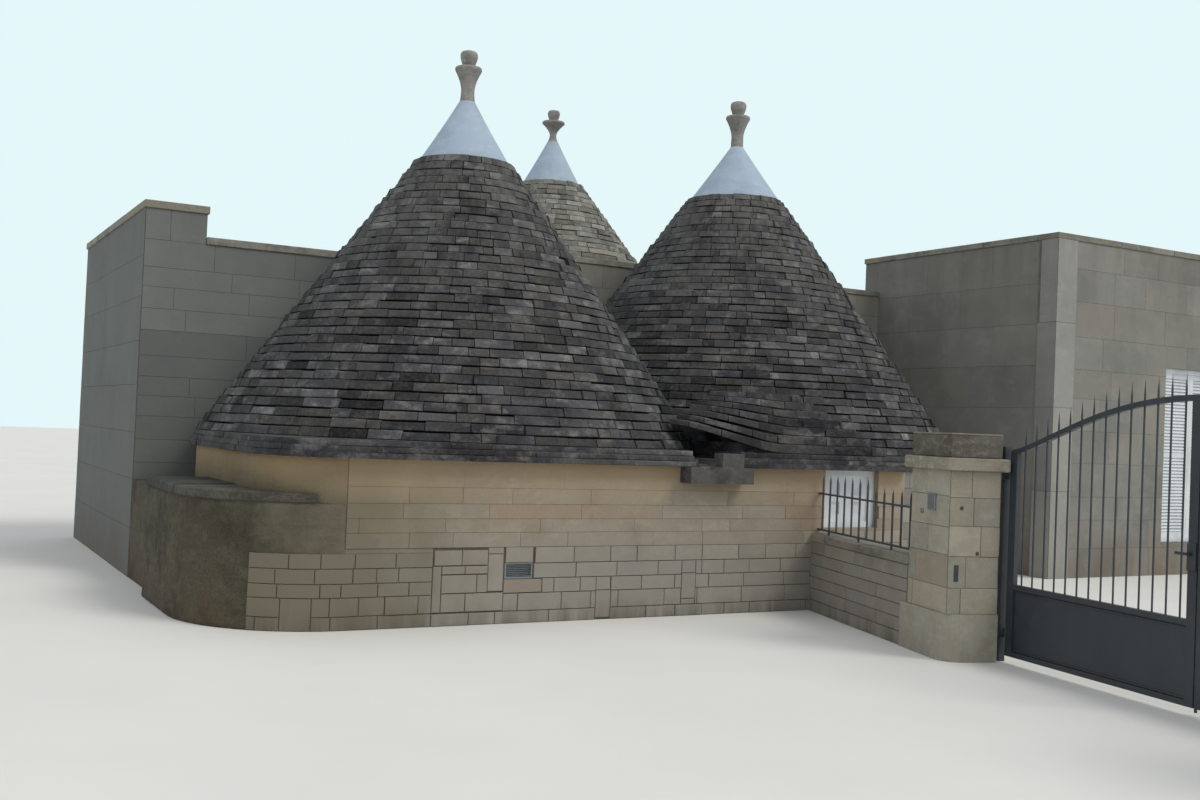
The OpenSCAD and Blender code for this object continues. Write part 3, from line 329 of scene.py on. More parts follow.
# Paints: colors are plain and worn, wear is its scale and amount
paintLooks = {
    "white_joinery": {"colors": ((0.62, 0.65, 0.67), (0.42, 0.43, 0.43)), "wear": (7, 0.3), "rough": 0.42,
                      "shine": 0.45},
    "grille_metal": {"colors": ((0.24, 0.26, 0.28), (0.12, 0.12, 0.12)), "wear": (25, 0.5), "rough": 0.45,
                     "metallic": 0.6},
    "railing_paint": {"colors": ((0.045, 0.05, 0.06), (0.12, 0.1, 0.08)), "wear": (18, 0.35), "rough": 0.5},
    "gate_paint": {"colors": ((0.029, 0.035, 0.043), (0.06, 0.067, 0.072)), "wear": (9, 0.3), "rough": 0.42},
}
finishes = {name: makeStone(name, look) for name, look in stoneLooks.items()}
finishes.update({name: makePaint(name, look) for name, look in paintLooks.items()})

# Mortar under the facing: its plain colour differs from wall to wall
mortarLook = {"colors": ((0.07, 0.062, 0.05), (0.2, 0.18, 0.15), (0.13, 0.1, 0.07)),
              "scales": (80, 3), "amounts": (0.5, 0.3, 0.0, 0.5), "rough": 0.9, "bump": 0.003}
mortarTones = {"street_stone": (0.088, 0.08, 0.064), "wing_stone": (0.085, 0.083, 0.075),
               "pier_stone": (0.12, 0.105, 0.075), "pilaster_stone": (0.16, 0.155, 0.14)}
mortars = {slotName: makeStone("mortar_" + slotName, {**mortarLook, "colors": (tone, *mortarLook["colors"])})
           for slotName, tone in mortarTones.items()}

for entry in frame["record"]["subparts"]:
    node = frame["nodes"][entry["node"]]
    for index in range(len(node.material_slots)):
        node.material_slots[index].material = finishes[entry["material_slot"]]
print("finishes are on the", len(frame["nodes"]), "parts of the frame")


# Piles: many stones gathered into one mesh
def newPile():
    return {"points": [], "faces": [], "tints": [], "warmths": []}


def addShape(pile, points, faces, shade):
    base = len(pile["points"])
    pile["points"].extend(points)
    pile["faces"].extend([[base + index for index in face] for face in faces])
    pile["tints"].extend([shade[0]] * len(points))
    pile["warmths"].extend([shade[1]] * len(points))


def turnFaces(pile, start):
    pile["faces"][start:] = [face[::-1] for face in pile["faces"][start:]]


def buildPile(name, pile, slotName, body="house", nodes=(), smooth=0):
    mesh = bpy.data.meshes.new(name)
    mesh.from_pydata(pile["points"], [], pile["faces"])
    for attribute, values in (("blockTint", pile["tints"]), ("blockWarm", pile["warmths"])):
        mesh.attributes.new(attribute, "FLOAT", "POINT").data.foreach_set("value", values)
    mesh.materials.append(finishes[slotName])
    if smooth:
        mesh.polygons.foreach_set("use_smooth", [True] * len(mesh.polygons))
        mesh.set_sharp_from_angle(angle=math.radians(smooth))
    mesh.update()
    piece = addObject(name, mesh)
    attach(piece, body)
    if nodes:
        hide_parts(*nodes)
    return piece


# Quads between rings of points, each ring closed or open
def bandFaces(count, rings, closed=True):
    faces = []
    for k in range(rings - 1):
        for i in range(count if closed else count - 1):
            a, b = k * count + i, k * count + (i + 1) % count
            faces.append((a, b, b + count, a + count))
    return faces


def tintOf(rng, spread):
    return max(-1.2, min(1.8, rng.gauss(0, spread)))


def blend(a, b, t):
    return a + (b - a) * t


def onCircle(center, radius, angle):
    return center[0] + radius * math.cos(angle), center[1] + radius * math.sin(angle)


def fullTurn(segments):
    return [2 * math.pi * i / segments for i in range(segments)]


# Places: from (along, up, out) on a wall to a point, each with its length along
def flatPlace(start, end):
    length = math.dist(start, end)
    ux, uy = (end[0] - start[0]) / length, (end[1] - start[1]) / length

    def place(u, v, d):
        return (start[0] + ux * u + uy * d, start[1] + uy * u - ux * d, v)
    return place, length


def ringPlace(center, radius, fromAngle, toAngle):
    def place(u, v, d):
        return (*onCircle(center, radius + d, math.radians(fromAngle) + u / radius), v)
    return place, radius * math.radians(toAngle - fromAngle)


def pathPlace(points):
    normals = []
    for i in range(len(points)):
        a, b = points[max(i - 1, 0)], points[min(i + 1, len(points) - 1)]
        length = math.dist(a, b)
        normals.append(((b[1] - a[1]) / length, -(b[0] - a[0]) / length))
    marks = [0.0]
    for a, b in zip(points, points[1:]):
        marks.append(marks[-1] + math.dist(a, b))

    def place(u, v, d):
        u = max(0.0, min(marks[-1], u))
        i = 0
        while i < len(marks) - 2 and marks[i + 1] < u:
            i += 1
        t = (u - marks[i]) / (marks[i + 1] - marks[i])
        x, y = (blend(points[i][axis], points[i + 1][axis], t)
                + d * blend(normals[i][axis], normals[i + 1][axis], t) for axis in (0, 1))
        return (x, y, v)
    return place, marks[-1]


def arcPoints(center, radius, fromAngle, toAngle, step=0.12):
    span = math.radians(toAngle - fromAngle)
    count = max(2, math.ceil(abs(span) * radius / step))
    return [onCircle(center, radius, math.radians(fromAngle) + span * i / count) for i in range(count + 1)]


def linePoints(a, b, step=0.3):
    count = max(1, math.ceil(math.dist(a, b) / step))
    return [(blend(a[0], b[0], i / count), blend(a[1], b[1], i / count)) for i in range(count + 1)]


def joined(first, *others):
    return sum((part[1:] for part in others), first)


# Facing blocks, each with bevelled edges, standing out from just inside the wall
def addBlock(pile, place, rect, joints, rng, shade, smallest=0.015, foot=-0.003):
    gap, depth, bevel, wobble, step = joints
    u0, u1, v0, v1 = rect[0] + gap / 2, rect[1] - gap / 2, rect[2] + gap / 2, rect[3] - gap / 2
    if u1 - u0 < smallest or v1 - v0 < smallest:
        return
    bevel = min(bevel, (u1 - u0) / 4, (v1 - v0) / 4)
    steps = max(1, math.ceil((u1 - u0) / step))
    depth += rng.uniform(-1, 1) * wobble
    tilts = [rng.uniform(-0.5, 0.5) * wobble for corner in range(4)]
    points = []
    for inset, out, lift in ((0, foot, 0), (0, depth - bevel, 1), (bevel, depth, 1)):
        low, high = [], []
        for i in range(steps + 1):
            t = i / steps
            u = blend(u0 + inset, u1 - inset, t)
            low.append(place(u, v0 + inset, out + lift * blend(tilts[0], tilts[1], t)))
            high.append(place(u, v1 - inset, out + lift * blend(tilts[3], tilts[2], t)))
        points += low + high[::-1]
    count = 2 * (steps + 1)
    front = [(2 * count + i, 2 * count + i + 1, 3 * count - 2 - i, 3 * count - 1 - i) for i in range(steps)]
    addShape(pile, points, bandFaces(count, 3) + front, shade)


def cutHoles(rects, holes, least=0.02):
    for a0, a1, b0, b1 in holes:
        parts = []
        for u0, u1, v0, v1 in rects:
            if u1 <= a0 or u0 >= a1 or v1 <= b0 or v0 >= b1:
                parts.append((u0, u1, v0, v1))
                continue
            left, right = max(u0, a0), min(u1, a1)
            pieces = ((u0, min(u1, a0), v0, v1), (max(u0, a1), u1, v0, v1),
                      (left, right, v0, b0), (left, right, b1, v1))
            parts += [part for part in pieces if part[1] - part[0] > least and part[3] - part[2] > least]
        rects = parts
    return rects


def layRows(length, bottom, rows, lengths, rng, holes=(), lastShare=0.6, least=0.04):
    rects = []
    v = bottom
    for height in rows:
        u = -rng.uniform(0, lengths[0])
        while u < length - 0.001:
            end = u + rng.uniform(*lengths)
            if length - end < lastShare * lengths[0]:
                end = length
            if end > least:
                rects.append((max(u, 0), min(end, length), v, v + height))
            u = end
        v += height
    return cutHoles(rects, holes)


def evenRows(bottom, top, low, high, rng):
    heights = []
    while sum(heights) < top - bottom:
        heights.append(rng.uniform(low, high))
    factor = (top - bottom) / sum(heights)
    return [height * factor for height in heights]


# Slabs laid in courses, with a leaning face and an uneven edge
slabPlay = {"step": 0.13, "tint": 0.45, "warmth": 0.6, "pale": (0.7, 1.6), "paleWarmth": 0.1, "low": 0.25, "high": 0.3}


def laySlabs(pile, place, length, z0, z1, look, rng, play=slabPlay):
    gap, bevel, rough, tint = look["gap"], look["bevel"], look["rough"], look.get("tint", 0.0)
    u = 0.0
    while u < length - 0.001:
        end = u + rng.uniform(*look["lengths"])
        if length - end < look["lengths"][0]:
            end = length
        a, b = u + look["joint"] / 2, end - look["joint"] / 2
        u = end
        shift = rng.gauss(0, look["shift"])
        drop = rng.uniform(0, gap)
        shade = (tint + tintOf(rng, play["tint"]), play["warmth"] * rng.random() ** 2)
        if rng.random() < look["paleShare"]:
            shade = (tint + rng.uniform(*play["pale"]), play["paleWarmth"])
        steps = max(1, round((b - a) / play["step"]))
        points = []
        for i in range(steps + 1):
            along = blend(a, b, i / steps)
            edge = shift + rng.uniform(-1, 1) * rough
            low = z0 + rng.uniform(0, play["low"]) * gap
            high = z1 - drop - rng.uniform(0, play["high"]) * gap
            d0, d1 = look["lean"][0] + edge, look["lean"][1] + edge + rng.uniform(-1, 1) * rough / 2
            section = ((low, d0 - look["back"]), (low, d0 - bevel), (low + bevel, d0),
                       (high - bevel, d1), (high, d1 - bevel), (high, d1 - look["back"]))
            points += [place(along, z, d) for z, d in section]
        faces = [(face[0], face[3], face[2], face[1]) for face in bandFaces(6, steps + 1, closed=False)]
        faces += [(0, 1, 2, 3, 4, 5), tuple(6 * steps + k for k in (5, 4, 3, 2, 1, 0))]
        addShape(pile, points, faces, shade)


# Stones with chamfered edges, for copings, caps and the gutter
def addStone(pile, box, bevel, shade, rng=None, wobble=0.0, move=None):
    x0, x1, y0, y1, z0, z1 = box
    bevel = min(bevel, (x1 - x0) / 5, (y1 - y0) / 5, (z1 - z0) / 3)
    points = []
    for inset, z in ((bevel, z0), (0, z0 + bevel), (0, z1 - bevel), (bevel, z1)):
        a0, a1, b0, b1 = x0 + inset, x1 - inset, y0 + inset, y1 - inset
        loop = [(a0 + bevel, b0), (a1 - bevel, b0), (a1, b0 + bevel), (a1, b1 - bevel),
                (a1 - bevel, b1), (a0 + bevel, b1), (a0, b1 - bevel), (a0, b0 + bevel)]
        for x, y in loop:
            lift = rng.uniform(-1, 0) * wobble if rng and z > (z0 + z1) / 2 else 0
            push = rng.uniform(0, 1) * wobble if rng else 0
            x += push if x < (x0 + x1) / 2 else -push
            points.append((x, y, z + lift))
    if move:
        points = [move(*point) for point in points]
    addShape(pile, points, [tuple(range(7, -1, -1)), tuple(range(24, 32))] + bandFaces(8, 4), shade)


# The plan that the walls, eaves and corner share
streetY, streetEnd = -0.35, 3.9499
leftCenter, leftRadius = (0.0, 2.2), 2.55
rightCenter, rightRadius = (4.24990, 3.25962), 2.86
cornerCenter, cornerRadius = (-1.95, 0.25), 0.6
lowCornerCenter, lowCornerRadius = (-1.96, 0.78), 1.13

# Cones of slab courses over a plain core with a pointed vault.
# A pinnacle has its neck, rim, flare height, knob and knob height.
cones = {
    "leftCone": {"node": "left_roof", "slot": "roof_stone", "center": leftCenter, "foot": 1.52, "top": 4.413,
                 "footRadius": 2.580, "topRadius": 0.5164, "roomRadius": 1.85, "courses": 34, "seed": 11,
                 "party": (14, 1.99855), "capHeight": 0.662, "pinnacle": (0.07, 0.142, 0.364, 0.093, 0.178)},
    "rightCone": {"node": "right_roof", "slot": "roof_stone", "center": rightCenter, "foot": 1.52, "top": 4.693,
                  "footRadius": 2.890, "topRadius": 0.61836, "roomRadius": 2.16, "courses": 36, "seed": 23,
                  "party": (194, 2.38145), "capHeight": 0.708, "pinnacle": (0.077, 0.1562, 0.4004, 0.1023, 0.1958)},
    "rearCone": {"node": "rear_roof", "slot": "rear_roof_stone", "center": (3.56, 7.175), "foot": 3.53, "top": 5.403,
                 "footRadius": 1.925, "topRadius": 0.4774, "roomRadius": 1.445, "courses": 22, "seed": 37,
                 "party": None, "capHeight": 0.662, "pinnacle": (0.05, 0.172, 0.314, 0.093, 0.178)},
}
slabLook = {"lengths": (0.13, 0.44), "joint": 0.007, "gap": 0.013, "shift": 0.008, "rough": 0.0055,
            "bevel": 0.006, "back": 0.15, "backShare": 0.3, "paleShare": 0.12, "treadLean": (-0.25, -0.72),
            "topScale": 0.55}
# The core shows in the gaps between slab courses; its darker tint is painted shade in those gaps.
coreLook = {"inner": 0.075, "footTreads": 0.35, "footLift": 0.004, "topDrop": 0.01, "eye": 0.03, "skin": 0.002,
            "vaultGap": 0.42, "vaultBow": 1.5, "vaultSteps": 7, "segments": 96, "shade": (-0.9, 0)}


def coneRadius(cone, z):
    slope = (cone["footRadius"] - cone["topRadius"]) / (cone["top"] - cone["foot"])
    return cone["footRadius"] - slope * (z - cone["foot"])


def addCore(pile, cone, tread, look):
    foot, top = cone["foot"], cone["top"]
    profile = [(cone["footRadius"] - tread * look["footTreads"] - look["inner"], foot + look["footLift"]),
               (cone["topRadius"] - look["inner"], top - look["topDrop"]), (look["eye"], top - look["topDrop"])]
    for step in range(look["vaultSteps"], -1, -1):
        t = step / look["vaultSteps"]
        profile.append((cone["roomRadius"] * (1 - t ** look["vaultBow"]) + look["skin"],
                        blend(foot, top - look["vaultGap"], t)))
    angles = fullTurn(look["segments"])
    points = [(*onCircle(cone["center"], radius, angle), z) for radius, z in profile for angle in angles]
    faces = [[index % len(points) for index in face] for face in bandFaces(len(angles), len(profile) + 1)]
    addShape(pile, points, faces, look["shade"])


def buildCone(name, cone):
    rng = random.Random(cone["seed"])
    pile = newPile()
    height = (cone["top"] - cone["foot"]) / cone["courses"]
    tread = (cone["footRadius"] - cone["topRadius"]) / cone["courses"]
    addCore(pile, cone, tread, coreLook)
    for course in range(cone["courses"]):
        z0 = cone["foot"] + course * height
        radius = coneRadius(cone, z0)
        scale = blend(slabLook["topScale"], 1, radius / cone["footRadius"])
        look = {**slabLook, "lengths": [scale * part for part in slabLook["lengths"]],
                "lean": [tread * part for part in slabLook["treadLean"]],
                "back": min(slabLook["back"], radius * slabLook["backShare"])}
        turn = rng.uniform(0, 360)
        place, length = ringPlace(cone["center"], radius, turn, turn + 360)
        laySlabs(pile, place, length, z0, z0 + height, look, rng)
    piece = buildPile(name, pile, cone["slot"], nodes=(cone["node"],))
    if cone["party"]:
        angle, distance = cone["party"]
        normal = Vector((*onCircle((0, 0), 1, math.radians(angle)), 0))
        shape = bmesh.new()
        shape.from_mesh(piece.data)
        bmesh.ops.bisect_plane(shape, geom=shape.verts[:] + shape.edges[:] + shape.faces[:], dist=1e-5,
                               plane_co=Vector((*cone["center"], 0)) + normal * distance, plane_no=normal,
                               clear_outer=True)
        shape.to_mesh(piece.data)
        shape.free()


for name, cone in cones.items():
    buildCone(name, cone)
print("cones are laid")


# Plastered caps and carved pinnacles, turned on the axes of the cones
capLook = {"rimIn": 0.038, "topRadius": 0.082, "topDrop": 0.001, "segments": 96, "rough": 0.01, "edgeDrop": 0.012,
           "rings": 12, "bow": -0.024, "lip": ((-0.02, -0.012), (0.0, -0.008))}
pinnacleLook = {"foot": 0.08, "sunk": 0.002, "neckShare": 0.35, "neckSteps": 8, "flareSteps": 12, "flareBow": 1.6,
                "rimTall": 0.03, "rimDrop": 0.012, "rimBevel": 0.008, "knobFoot": 0.66, "segments": 48, "rough": 0.03,
                "knob": ((0.6, 0.03), (0.66, 0.1), (0.76, 0.22), (0.86, 0.35), (0.94, 0.48), (0.985, 0.6), (1, 0.7),
                         (0.985, 0.79), (0.93, 0.87), (0.82, 0.94), (0.6, 0.985), (0.3, 0.998), (0.02, 1))}
# Wear of turned stone: a slow and a fine noise, each with its scales across and upwards
turnedWear = {"scales": ((2.2, 3), (9, 12)), "shares": (0.7, 0.3), "axis": 0.004}


def noiseAt(x, y, z):
    return noise.noise(Vector((x, y, z)))


def addTurned(pile, center, profile, look, seed, wear=turnedWear):
    points = []
    for k, (radius, z) in enumerate(profile):
        for angle in fullTurn(look["segments"]):
            x, y = onCircle((0, 0), 1, angle)
            parts = [noiseAt(x * across, y * across, z * up + seed) for across, up in wear["scales"]]
            drop = look.get("edgeDrop", 0.0) * sum(parts) if k in (0, 1) else 0.0
            swell = sum(part * share for part, share in zip(parts, wear["shares"]))
            r = radius * (1 + look["rough"] * swell) if radius > wear["axis"] else radius
            points.append((*onCircle(center, r, angle), z + drop))
    first, last = list(range(look["segments"])), (len(profile) - 1) * look["segments"]
    ends = [first[::-1], [last + index for index in first]]
    addShape(pile, points, bandFaces(look["segments"], len(profile)) + ends, (0, 0))


def buildCaps(look):
    pile = newPile()
    for cone in cones.values():
        foot, z = cone["topRadius"] - look["rimIn"], cone["top"]
        profile = [(foot + out, z + up) for out, up in look["lip"]]
        for k in range(1, look["rings"] + 1):
            t = k / look["rings"]
            bow = look["bow"] * t * (1 - t)
            profile.append((blend(foot, look["topRadius"], t) + bow, z + (cone["capHeight"] - look["topDrop"]) * t))
        addTurned(pile, cone["center"], profile, look, cone["seed"])
    buildPile("whiteCaps", pile, "lime_plaster", nodes=("roof_caps",), smooth=60)


def buildPinnacles(look):
    pile = newPile()
    for cone in cones.values():
        neck, rim, flare, knob, knobHeight = cone["pinnacle"]
        z = cone["top"] + cone["capHeight"] - look["sunk"]
        foot, neckHeight = look["foot"], look["neckShare"] * flare
        profile = [(foot, z)]
        for k in range(1, look["neckSteps"] + 1):
            t = k / look["neckSteps"]
            profile.append((blend(neck, foot, (1 - t) ** 2), z + neckHeight * t))
        for k in range(1, look["flareSteps"] + 1):
            t = k / look["flareSteps"]
            profile.append((blend(neck, rim, t ** look["flareBow"]),
                            z + blend(neckHeight, flare - look["rimTall"], t)))
        profile += [(rim, z + flare - look["rimDrop"]), (rim - look["rimBevel"], z + flare),
                    (knob * look["knobFoot"], z + flare + 0.002)]
        profile += [(knob * r, z + flare + knobHeight * h) for r, h in look["knob"]]
        addTurned(pile, cone["center"], profile, look, cone["seed"] + 5)
    buildPile("carvedPinnacles", pile, "finial_stone", nodes=("finials",), smooth=38)


buildCaps(capLook)
buildPinnacles(pinnacleLook)
print("caps and pinnacles stand on the cones")


# Eaves slabs: three layers, each with its own stand-out along the street and round the cones
eavesLook = {"foot": 1.375, "thick": 0.0483, "streetOuts": (0.14, 0.11, 0.08), "ringOuts": (0.06, 0.045, 0.03),
             "gutter": (1.27, 1.815), "lengths": (0.35, 0.85), "joint": 0.005, "gap": 0.005, "shift": 0.004,
             "rough": 0.003, "bevel": 0.005, "back": 0.16, "lean": (0.002, 0.002), "paleShare": 0.1}


def buildEaves(look):
    rng = random.Random(41)
    pile = newPile()
    gutterLeft, gutterRight = look["gutter"]
    for layer, (out, ring) in enumerate(zip(look["streetOuts"], look["ringOuts"])):
        z0 = look["foot"] + look["thick"] * layer
        y = streetY - out
        corner = (cornerCenter[0], cornerCenter[1] + ring - out)
        leftX = -leftRadius - ring
        leftEdge = joined(linePoints((leftX, leftCenter[1]), (leftX, corner[1])),
                          arcPoints(corner, cornerRadius + ring, 180, 270),
                          linePoints((corner[0], y), (gutterLeft, y)))
        runs = [ringPlace(leftCenter, leftRadius + ring, 54, 180), pathPlace(leftEdge),
                flatPlace((gutterLeft, y), (gutterLeft, -0.06)), ringPlace(leftCenter, leftRadius + ring, -61, -28),
                flatPlace((gutterRight, 1.6), (gutterRight, y)), flatPlace((gutterRight, y), (streetEnd, y)),
                flatPlace((streetEnd, y), (streetEnd, 0.36)), ringPlace(rightCenter, rightRadius + ring, -96, 158)]
        for place, length in runs:
            laySlabs(pile, place, length, z0, z0 + look["thick"], look, rng)
    buildPile("eavesSlabs", pile, "roof_stone")


# Courses in front of the right cone, swept up to the left into the valley over the gutter
apronLook = {"foot": 1.52, "thick": 0.08814, "courses": 7, "front": -0.38, "step": 0.17019, "end": 3.8899,
             "endStep": 0.055, "corner": 0.42, "bendStep": 0.07, "tail": 0.5, "valleyTurn": 205, "valleyX": 1.3,
             "valleyStep": 0.17, "valleyRadius": (0.95, 0.5), "lift": 0.24, "run": 1.2, "back": 0.3,
             "lean": (0.016, 0.006), "lengths": (0.2, 0.5), "joint": 0.007, "gap": 0.012, "shift": 0.006,
             "rough": 0.005, "bevel": 0.006, "paleShare": 0.12}
gutterBed = {"across": (1.272, 1.813), "up": (1.372, 1.398), "rows": ((-0.34, -0.06), (-0.056, 0.2), (0.204, 0.45)),
             "bevel": 0.004, "shade": (-0.6, 0), "wobble": 0.004}


def buildApron(look):
    rng = random.Random(43)
    pile = newPile()
    r = look["corner"]
    top = look["foot"] + look["thick"] * look["courses"]
    for i in range(look["courses"]):
        front = look["front"] + look["step"] * i
        x0 = look["valleyX"] + look["valleyStep"] * i
        x1 = look["end"] - look["endStep"] * i
        wide = blend(*look["valleyRadius"], i / (look["courses"] - 1))
        place, length = pathPlace(joined(
            arcPoints((x0 + wide, front + wide), wide, look["valleyTurn"], 270, look["bendStep"]),
            linePoints((x0 + wide, front), (x1 - r, front)),
            arcPoints((x1 - r, front + r), r, 270, 360, look["bendStep"]),
            linePoints((x1, front + r), (x1, front + r + look["tail"]))))

        def sweptPlace(u, v, d, place=place):
            x, y, z = place(u, v, d)
            t = max(0.0, 1 - u / look["run"])
            return (x, y, z + look["lift"] * (top - z) / (top - look["foot"]) * t * t * (3 - 2 * t))
        z0 = look["foot"] + look["thick"] * i
        laySlabs(pile, sweptPlace, length, z0, z0 + look["thick"], look, rng)
    buildPile("apronSlabs", pile, "roof_stone")
    bed = newPile()
    for row in gutterBed["rows"]:
        box = (*gutterBed["across"], *row, *gutterBed["up"])
        addStone(bed, box, gutterBed["bevel"], gutterBed["shade"], rng, gutterBed["wobble"])
    buildPile("gutterBedSlabs", bed, "gutter_stone")


buildEaves(eavesLook)
buildApron(apronLook)
print("eaves and apron are laid")


# Copings: a row of stones on each parapet, in layers of two heights and the plan of each row
copingLooks = {
    "leftWingCopingStones": {
        "node": "left_wing_coping", "seed": 51,
        "layers": (((3.735, 3.815), ((-3.015, -2.36, 3.255, 3.605), (-3.015, -2.665, 3.605, 7.485))),
                   ((3.42, 3.5), ((-2.385, -0.695, 3.255, 3.605), (-1.045, -0.695, 3.605, 4.425),
                                  (-1.045, 1.15, 4.425, 4.775), (-2.69, 1.15, 7.135, 7.485))))},
    "rearBlockCopingStones": {
        "node": "rear_block_coping", "seed": 52,
        "layers": (((3.85, 3.93), ((1.125, 7.8259, 4.425, 4.775), (1.125, 1.475, 4.775, 9.205),
                                   (1.125, 13.6009, 9.205, 9.555), (13.2509, 13.6009, 4.775, 9.205))),)},
    "rightWingCopingStones": {
        "node": "right_wing_coping", "seed": 53,
        "layers": (((4.38, 4.46), ((7.8009, 13.6009, 1.08, 1.43), (7.8009, 8.1509, 1.43, 4.425),
                                   (13.2509, 13.6009, 1.43, 4.425), (7.8009, 13.6009, 4.425, 4.775))),)},
}
copingStone = {"lengths": (0.9, 1.3), "shift": 0.08, "bevel": 0.006, "joint": 0.002, "tint": 0.5, "wobble": 0.002}


def layCoping(pile, plan, z0, z1, rng, stone=copingStone):
    x0, x1, y0, y1 = plan
    alongX = x1 - x0 > y1 - y0
    start, stop = (x0, x1) if alongX else (y0, y1)
    count = max(1, round((stop - start) / rng.uniform(*stone["lengths"])))
    marks = [blend(start, stop, k / count) for k in range(count + 1)]
    marks[1:-1] = [mark + rng.uniform(-stone["shift"], stone["shift"]) for mark in marks[1:-1]]
    for a, b in zip(marks, marks[1:]):
        shade = (tintOf(rng, stone["tint"]), rng.random() ** 3)
        a, b = a + stone["joint"], b - stone["joint"]
        box = (a, b, y0, y1, z0, z1) if alongX else (x0, x1, a, b, z0, z1)
        addStone(pile, box, stone["bevel"], shade, rng, stone["wobble"])


for name, look in copingLooks.items():
    rng = random.Random(look["seed"])
    pile = newPile()
    for (z0, z1), plans in look["layers"]:
        for plan in plans:
            layCoping(pile, plan, z0, z1, rng)
    buildPile(name, pile, "coping_stone", nodes=(look["node"],))


# Round ledge over the street corner: slabs along the outer curve, reaching in to the upper wall
ledgeLook = {"foot": 1.005, "thick": 0.09, "start": 1.9, "outer": 1.155, "inner": 0.603, "inward": -0.3,
             "lengths": (0.45, 0.8), "joint": 0.006, "gap": 0.008, "shift": 0.0, "rough": 0.004, "bevel": 0.012,
             "back": 0.75, "lean": (-0.009, -0.016), "paleShare": 0.1, "tint": -3.9}


def edgePath(center, radius, start, toAngle):
    x = center[0] - radius
    return joined(linePoints((x, start), (x, center[1])), arcPoints(center, radius, 180, toAngle))


def buildLedge(look):
    pile = newPile()
    place, length = pathPlace(edgePath(lowCornerCenter, look["outer"], look["start"], 258))
    innerPlace, innerLength = pathPlace(edgePath(cornerCenter, look["inner"], look["start"], 245))

    def ledgePlace(u, v, d):
        return place(u, v, d) if d > look["inward"] else innerPlace(u * innerLength / length, v, 0.0)
    laySlabs(pile, ledgePlace, length, look["foot"], look["foot"] + look["thick"], look, random.Random(61))
    buildPile("cornerLedgeSlabs", pile, "coping_stone", nodes=("corner_coping",))


buildLedge(ledgeLook)


# Facing of the walls: rows of blocks over a bed of mortar.
# Joints: gap, depth, bevel, wobble and the longest straight piece of a block's edge.
jointLooks = {
    "plain": (0.004, 0.007, 0.003, 0.0025, 9), "curved": (0.004, 0.007, 0.003, 0.0025, 0.25),
    "clear": (0.0055, 0.013, 0.004, 0.003, 9), "rough": (0.005, 0.012, 0.004, 0.004, 0.1),
    "faint": (0.002, 0.009, 0.0015, 0.0012, 9), "smooth": (0.001, 0.009, 0.0006, 0.0006, 9),
    "panel": (0.0022, 0.008, 0.0015, 0.001, 9), "coursed": (0.004, 0.008, 0.003, 0.002, 9),
    "pilaster": (0.004, 0.003, 0.003, 0.0008, 9), "low": (0.006, 0.008, 0.003, 0.003, 9),
    "pier": (0.003, 0.006, 0.0025, 0.003, 9),
}
beds = {}


def addBed(pile, place, rect, out=0.0015, step=0.2):
    u0, u1, v0, v1 = rect
    steps = max(1, math.ceil((u1 - u0) / step))
    for i in range(steps):
        a, b = blend(u0, u1, i / steps), blend(u0, u1, (i + 1) / steps)
        addShape(pile, [place(u, v, out) for u, v in ((a, v0), (b, v0), (b, v1), (a, v1))], [(0, 1, 2, 3)], (0, 0))


# One run of courses, on a line (x, y to x, y) or on a place made before.
# Its rows are heights, or with a top the least and greatest height of a row.
def courses(place, bottom, rows, lengths, joints="plain", spread=0.8, tint=0.0, warmth=0.35, **more):
    if len(place) == 4:
        place = flatPlace(place[:2], place[2:])
    return {"place": place, "bottom": bottom, "rows": rows, "lengths": lengths, "joints": joints, "spread": spread,
            "tint": tint, "warmth": warmth, "top": None, "holes": (), "singles": (), **more}


def faceRun(pile, slotName, run, rng):
    place, length = run["place"]
    bottom, holes, joints = run["bottom"], run["holes"], jointLooks[run["joints"]]
    rows = evenRows(bottom, run["top"], *run["rows"], rng) if run["top"] else run["rows"]
    covered = [*holes, *(single[:4] for single in run["singles"])]
    for rect in layRows(length, bottom, rows, run["lengths"], rng, covered):
        shade = (run["tint"] + tintOf(rng, run["spread"]), run["warmth"] * rng.random() ** 2)
        addBlock(pile, place, rect, joints, rng, shade)
    for single in run["singles"]:
        addBlock(pile, place, single[:4], joints, rng, single[4:])
    bed = beds.setdefault(slotName, newPile())
    for part in cutHoles([(0, length, bottom, bottom + sum(rows))], holes):
        addBed(bed, place, part)


# The court wall, the piers, the gate and the shutters: from (along, across, up) to a point
def turnedPlace(origin, along, across):
    def place(x, y, z=0.0):
        return (origin[0] + x * along[0] + y * across[0], origin[1] + x * along[1] + y * across[1], z)
    return place


def turnedAxes(degrees, sign=1):
    turn = math.radians(degrees)
    return (-sign * math.sin(turn), -sign * math.cos(turn)), (math.cos(turn), -math.sin(turn))


courtAxes = turnedAxes(16.4)
courtPlace = turnedPlace((2.76, streetY), *courtAxes)


def shifted(rects, by):
    return tuple((rect[0] + by, rect[1] + by, *rect[2:]) for rect in rects)


wingWindow = {"half": 0.66, "sill": 0.45, "height": 2.386}


def windowHole(middle):
    half, sill = wingWindow["half"], wingWindow["sill"]
    return (middle - half, middle + half, sill, sill + wingWindow["height"])


